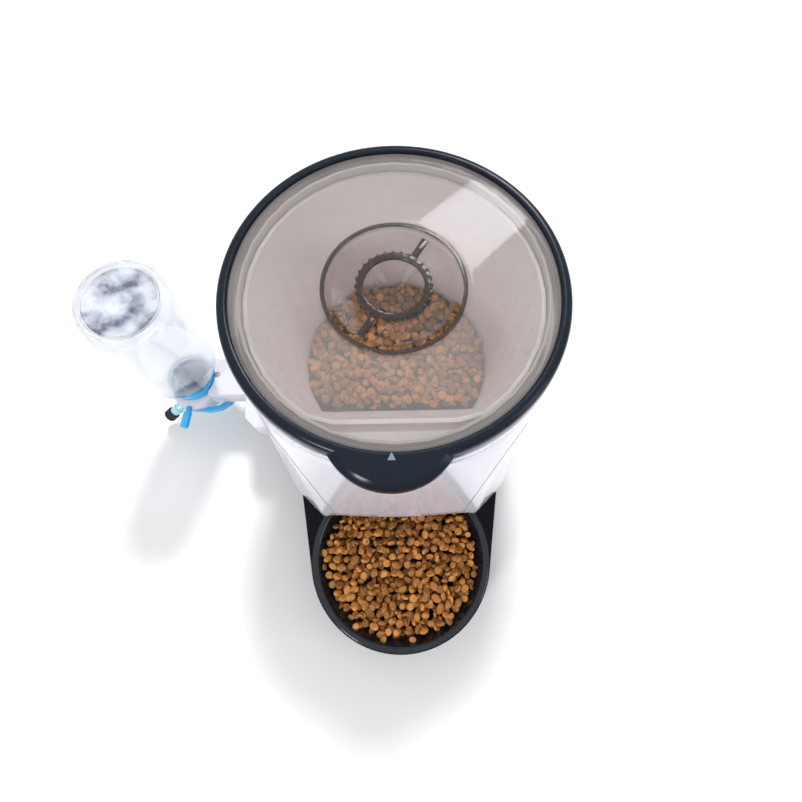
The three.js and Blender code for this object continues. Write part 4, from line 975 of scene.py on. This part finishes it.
class FEEDER_OT_valve(bpy.types.Operator):
    """The valve under the bottle: its cup, stem, slanted nozzle with a rubber tip, and the tap"""

    bl_idname = "feeder.valve"
    bl_label = "Valve and tap"

    def along(self, piece, height, angle, fall):
        """Lays a piece made along the upright so that it points out from the bottle's axis."""
        return placed(piece, (*BOTTLE, height), (0, radians(90 + fall), radians(angle)))

    def execute(self, context):
        cup = refined("valve_body", "valve_cup", 0.6, 3, 1.0, 35)
        finished(cup, "bracket", "pale_blue", finish("pale"), "valve_body")
        x, y = middle("valve_stem")
        low, top = span("valve_stem", 2)
        stem = turned("valve_stem_post", [
            (6, low), (6, top - 16), (5.4, top - 15.5), (5.4, top - 14.5), (6, top - 14),
            (6, top - 4), (5.4, top - 1.2), (4.4, top), (3.4, top), (3.0, top - 0.5),
            (3.0, top - 12)], (x, y), 64)
        soften(stem, 0.25, 2)
        finished(stem, "bracket", "sky_blue", finish("stem"), "valve_stem")
        height, angle, fall = 41, 210, 27
        tube = turned("nozzle_pipe", [
            (3, 17), (5, 17), (5, 35), (5.7, 35.6), (5.7, 37.6), (5, 38.2), (5, 43), (3.6, 43),
            (3.6, 47), (3, 47), (3, 17)], (0, 0), 64)
        soften(tube, 0.3, 2)
        finished(self.along(tube, height, angle, fall), "bracket", "pale_blue", finish("pale"),
                 "nozzle_tube")
        tip = turned("nozzle_cap", [
            (3.9, 43.3), (6.6, 43.3), (6.6, 46), (6.1, 46.6), (6.1, 47.6), (6.6, 48.2),
            (6.6, 50.4), (5.4, 51.8), (2.6, 51.8), (2.3, 51.2), (2.3, 48.3), (3.9, 48.3),
            (3.9, 43.3)], (0, 0), 64)
        soften(tip, 0.3, 2)
        finished(self.along(tip, height, angle, fall), "bracket", "rubber", finish("rubber"),
                 "nozzle_tip")
        pin = turned("nozzle_ball", [
            (1.9, 31), (1.9, 53.0), (1.6, 53.6), (1.1, 54.0), (0.5, 54.2)], (0, 0), 32)
        smooth(self.along(pin, height, angle, fall))
        finished(pin, "nozzle_pin", "steel", finish("steel"), "nozzle_pin")
        knob = turned("tap_grip", [
            (2.4, 19), (2.4, 27.6), (3, 27.6), (3, 31.5), (4, 32), (4, 47), (3.4, 48.1),
            (2.4, 48.5)], (0, 0), 48)
        for side in (-1, 1):
            x0 = side * 3.2
            flat = drawn("flat", [(x0, -6, 36), (x0 + side * 3, -6, 36), (x0 + side * 3, 6, 36),
                                  (x0, 6, 36)], (0, 0, 14))
            combine(knob, "DIFFERENCE", flat)
        soften(knob, 0.3, 2)
        finished(self.along(knob, 58, 261, 0), "tap", "sky_blue", finish("sky"), "tap_knob")
        return {"FINISHED"}


class FEEDER_OT_bottle(bpy.types.Operator):
    """The upturned clear bottle with a dimpled base"""

    bl_idname = "feeder.bottle"
    bl_label = "Water bottle"

    def execute(self, context):
        low, top = span("bottle", 2)
        wide = span("bottle", 0)[1] - BOTTLE[0]
        wall = 1.2
        outer = [
            (18.5, low), (18.5, low + 9.5), (20.6, low + 9.8), (20.9, low + 10.4),
            (20.9, low + 11.4), (20.5, low + 12.0), (18.5, low + 12.4), (18.5, low + 14),
            (19.1, low + 16.5), (21.6, low + 21), (wide - 8.6, low + 28), (wide - 4.6, low + 37),
            (wide - 2.0, low + 44), (wide - 0.6, low + 50.5), (wide, low + 58),
            (wide, top - 14), (wide - 0.3, top - 10), (wide - 1.3, top - 6),
            (wide - 2.8, top - 3), (wide - 4.4, top - 0.9), (wide - 6, top),
            (wide - 7.2, top - 0.3), (wide - 8.0, top - 1.6), (wide - 8.8, top - 4.8),
            (1.6, top - 5.2)]
        inner = [(17.3, low - 3), (17.3, low + 14), (17.9, low + 16.5), (20.4, low + 21.4)]
        inner += [(r - wall, z + 0.3) for r, z in outer[10:16]]
        inner += [(wide - 1.6, top - 10.4), (wide - 2.7, top - 6.8), (wide - 4.3, top - 4.4),
                  (wide - 5.8, top - 2.4), (wide - 7.4, top - 2.6), (wide - 9.4, top - 6.0),
                  (1.6, top - 6.4)]
        shell = turned("bottle_wall", outer, BOTTLE, 128)
        hollow = turned("bottle_hollow", inner, BOTTLE, 128)
        combine(shell, "DIFFERENCE", hollow)
        smooth(shell, 50)
        finished(shell, "bottle", "clear_plastic", finish("bottle"), "bottle")
        low = top - 4.9
        dish = turned("bottle_dish", [
            (0.8, low), (wide - 9.2, low), (wide - 9.2, low + 2.0), (wide - 10.0, low + 2.4),
            (wide - 11.0, low + 1.6), (wide - 12.4, low + 0.9), (13.2, low + 1.1),
            (12.2, low + 1.9), (11.2, low + 1.9), (10.2, low + 1.0), (6.8, low + 1.0),
            (5.8, low + 1.8), (4.6, low + 1.8), (3.4, low + 1.0), (0.8, low + 1.3)], BOTTLE, 96)
        smooth(dish, 50)
        # The dish's finish carries a painted reflection and painted highlights.
        finished(dish, "bottle", "clear_plastic", finish("dish"))
        return {"FINISHED"}


class FEEDER_OT_inner_works(bpy.types.Operator):
    """Finishes for the pieces inside: gears, motor, rotor, battery case, cells and screws"""

    bl_idname = "feeder.inner_works"
    bl_label = "Inner works"

    def execute(self, context):
        looks = {
            "black": ("battery_case", "chute", "gear_plate", "speaker"),
            "milk": ("rotor_chamber", "agitator"),
            "sky": ("rotor",),
            "gear": ("drive_gear", "idler_gear"),
            "steel": ("rotor_shaft", "idler_pin", "motor", "base_screw_1", "base_screw_2",
                      "base_screw_3", "base_screw_4"),
            "brass": ("motor_pinion",),
            "board": ("control_board",),
            "cell": ("battery_1", "battery_2", "battery_3"),
        }
        for look, names in looks.items():
            for name in names:
                node = frame["nodes"][name]
                node.data.materials.clear()
                node.data.materials.append(finish(look))
        return {"FINISHED"}


class FEEDER_OT_studio(bpy.types.Operator):
    """The pale floor, the soft lights, the room light and the camera above the feeder"""

    bl_idname = "feeder.studio"
    bl_label = "Studio"

    def lamp(self, name, place, towards, size, power, tint=(1, 1, 1), spin=None):
        bpy.ops.object.light_add(type="AREA", location=place)
        lamp = bpy.context.object
        lamp.name = name
        lamp.data.name = name
        lamp.data.shape = "RECTANGLE"
        lamp.data.size, lamp.data.size_y = size
        lamp.data.energy = power
        lamp.data.color = tint
        aim = (Vector(towards) - Vector(place)).to_track_quat("-Z", "Y")
        lamp.rotation_euler = aim.to_euler() if spin is None else (0, 0, spin)
        return lamp

    def room(self, strength):
        world = bpy.data.worlds.new("Room")
        world.use_nodes = True
        bpy.context.scene.world = world
        tree = world.node_tree
        place = tree.nodes.new("ShaderNodeTexCoord").outputs["Generated"]
        split = tree.nodes.new("ShaderNodeSeparateXYZ")
        tree.links.new(place, split.inputs["Vector"])
        rise = ranged(tree, split.outputs["Z"], 0.0, 1.0, 0.0, 0.9)
        tint = blended(tree, rise, (0.60, 0.60, 0.66), (1.0, 1.0, 1.0))
        tree.links.new(tint, tree.nodes["Background"].inputs["Color"])
        tree.nodes["Background"].inputs["Strength"].default_value = strength

    def execute(self, context):
        studio = context.scene.studio
        begin()
        bpy.ops.mesh.primitive_circle_add(vertices=96, radius=2.6, fill_type="NGON",
                                          location=(0, 0, -0.0004))
        floor = start_mesh("studio_floor")
        bpy.ops.mesh.inset(thickness=0.6)
        bpy.ops.object.mode_set(mode="OBJECT")
        finish_floor = moulded("Studio floor", (0.86, 0.86, 0.86), 0.6, 300, 0.02, 0.005)
        floor.data.materials.append(finish_floor)

        key = self.lamp("key", (0.22, 1.15, 1.9), (0.06, 0.0, 0.1), (0.3, 0.3), studio.key_light)
        key.visible_glossy = False
        self.lamp("fill", (-0.9, -1.3, 1.2), (0.0, 0.0, 0.1), (0.35, 0.35), studio.key_light * 0.34)
        self.lamp("side", (1.5, -0.5, 0.8), (0.06, 0.0, 0.15), (0.5, 1.2), studio.key_light * 0.12,
                  (0.88, 0.88, 1.0))
        panel = self.lamp("cover_panel", (0.42, 0.97, 1.2), (0, 0, 0), (0.80, 0.27), studio.window,
                          spin=radians(47.6))
        panel.visible_diffuse = False
        panel.visible_transmission = False
        panel.visible_volume_scatter = False
        self.room(studio.sky_light)

        bpy.ops.object.camera_add(location=(0.0681, -0.1314, 0.611))
        camera = bpy.context.object
        camera.name = "overhead"
        tilt = Matrix.Rotation(radians(18.8), 3, "X") @ Matrix.Rotation(radians(-1.12), 3, "Z")
        camera.rotation_euler = tilt.to_euler()
        camera.data.lens = 26.48
        camera.data.sensor_width = 36
        camera.data.clip_start = 0.02
        camera.data.dof.use_dof = False
        context.scene.camera = camera
        context.scene.view_settings.view_transform = "Standard"
        return {"FINISHED"}


class FEEDER_PT_panel(bpy.types.Panel):
    """Buttons and sizes of the pet feeder"""

    bl_idname = "FEEDER_PT_panel"
    bl_label = "Pet Feeder"
    bl_space_type = "VIEW_3D"
    bl_region_type = "UI"
    bl_category = "Pet Feeder"

    def draw(self, context):
        layout = self.layout
        for group in ("feeder_sizes", "feeder_food", "feeder_colours", "studio"):
            settings = getattr(context.scene, group)
            box = layout.box()
            for key in type(settings).__annotations__:
                box.prop(settings, key)
        for operator in OPERATORS:
            layout.operator(operator.bl_idname)


OPERATORS = (
    FEEDER_OT_base, FEEDER_OT_body, FEEDER_OT_controls, FEEDER_OT_dock, FEEDER_OT_hopper,
    FEEDER_OT_bowl, FEEDER_OT_food, FEEDER_OT_lid_ring, FEEDER_OT_lid_cover, FEEDER_OT_desiccant,
    FEEDER_OT_bracket, FEEDER_OT_valve, FEEDER_OT_bottle, FEEDER_OT_inner_works, FEEDER_OT_studio,
)
GROUPS = {
    "feeder_sizes": FeederSizes,
    "feeder_food": FoodSizes,
    "feeder_colours": FeederColours,
    "studio": StudioSettings,
}


def register():
    for name, group in GROUPS.items():
        bpy.utils.register_class(group)
        setattr(bpy.types.Scene, name, bpy.props.PointerProperty(type=group))
    for operator in OPERATORS:
        bpy.utils.register_class(operator)
    bpy.utils.register_class(FEEDER_PT_panel)


def unregister():
    bpy.utils.unregister_class(FEEDER_PT_panel)
    for operator in reversed(OPERATORS):
        bpy.utils.unregister_class(operator)
    for name, group in GROUPS.items():
        delattr(bpy.types.Scene, name)
        bpy.utils.unregister_class(group)


def main():
    """Registers the add-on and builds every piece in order."""
    register()
    for operator in OPERATORS:
        _, name = operator.bl_idname.split(".")
        getattr(bpy.ops.feeder, name)()
    begin()


if __name__ == "__main__":
    main()
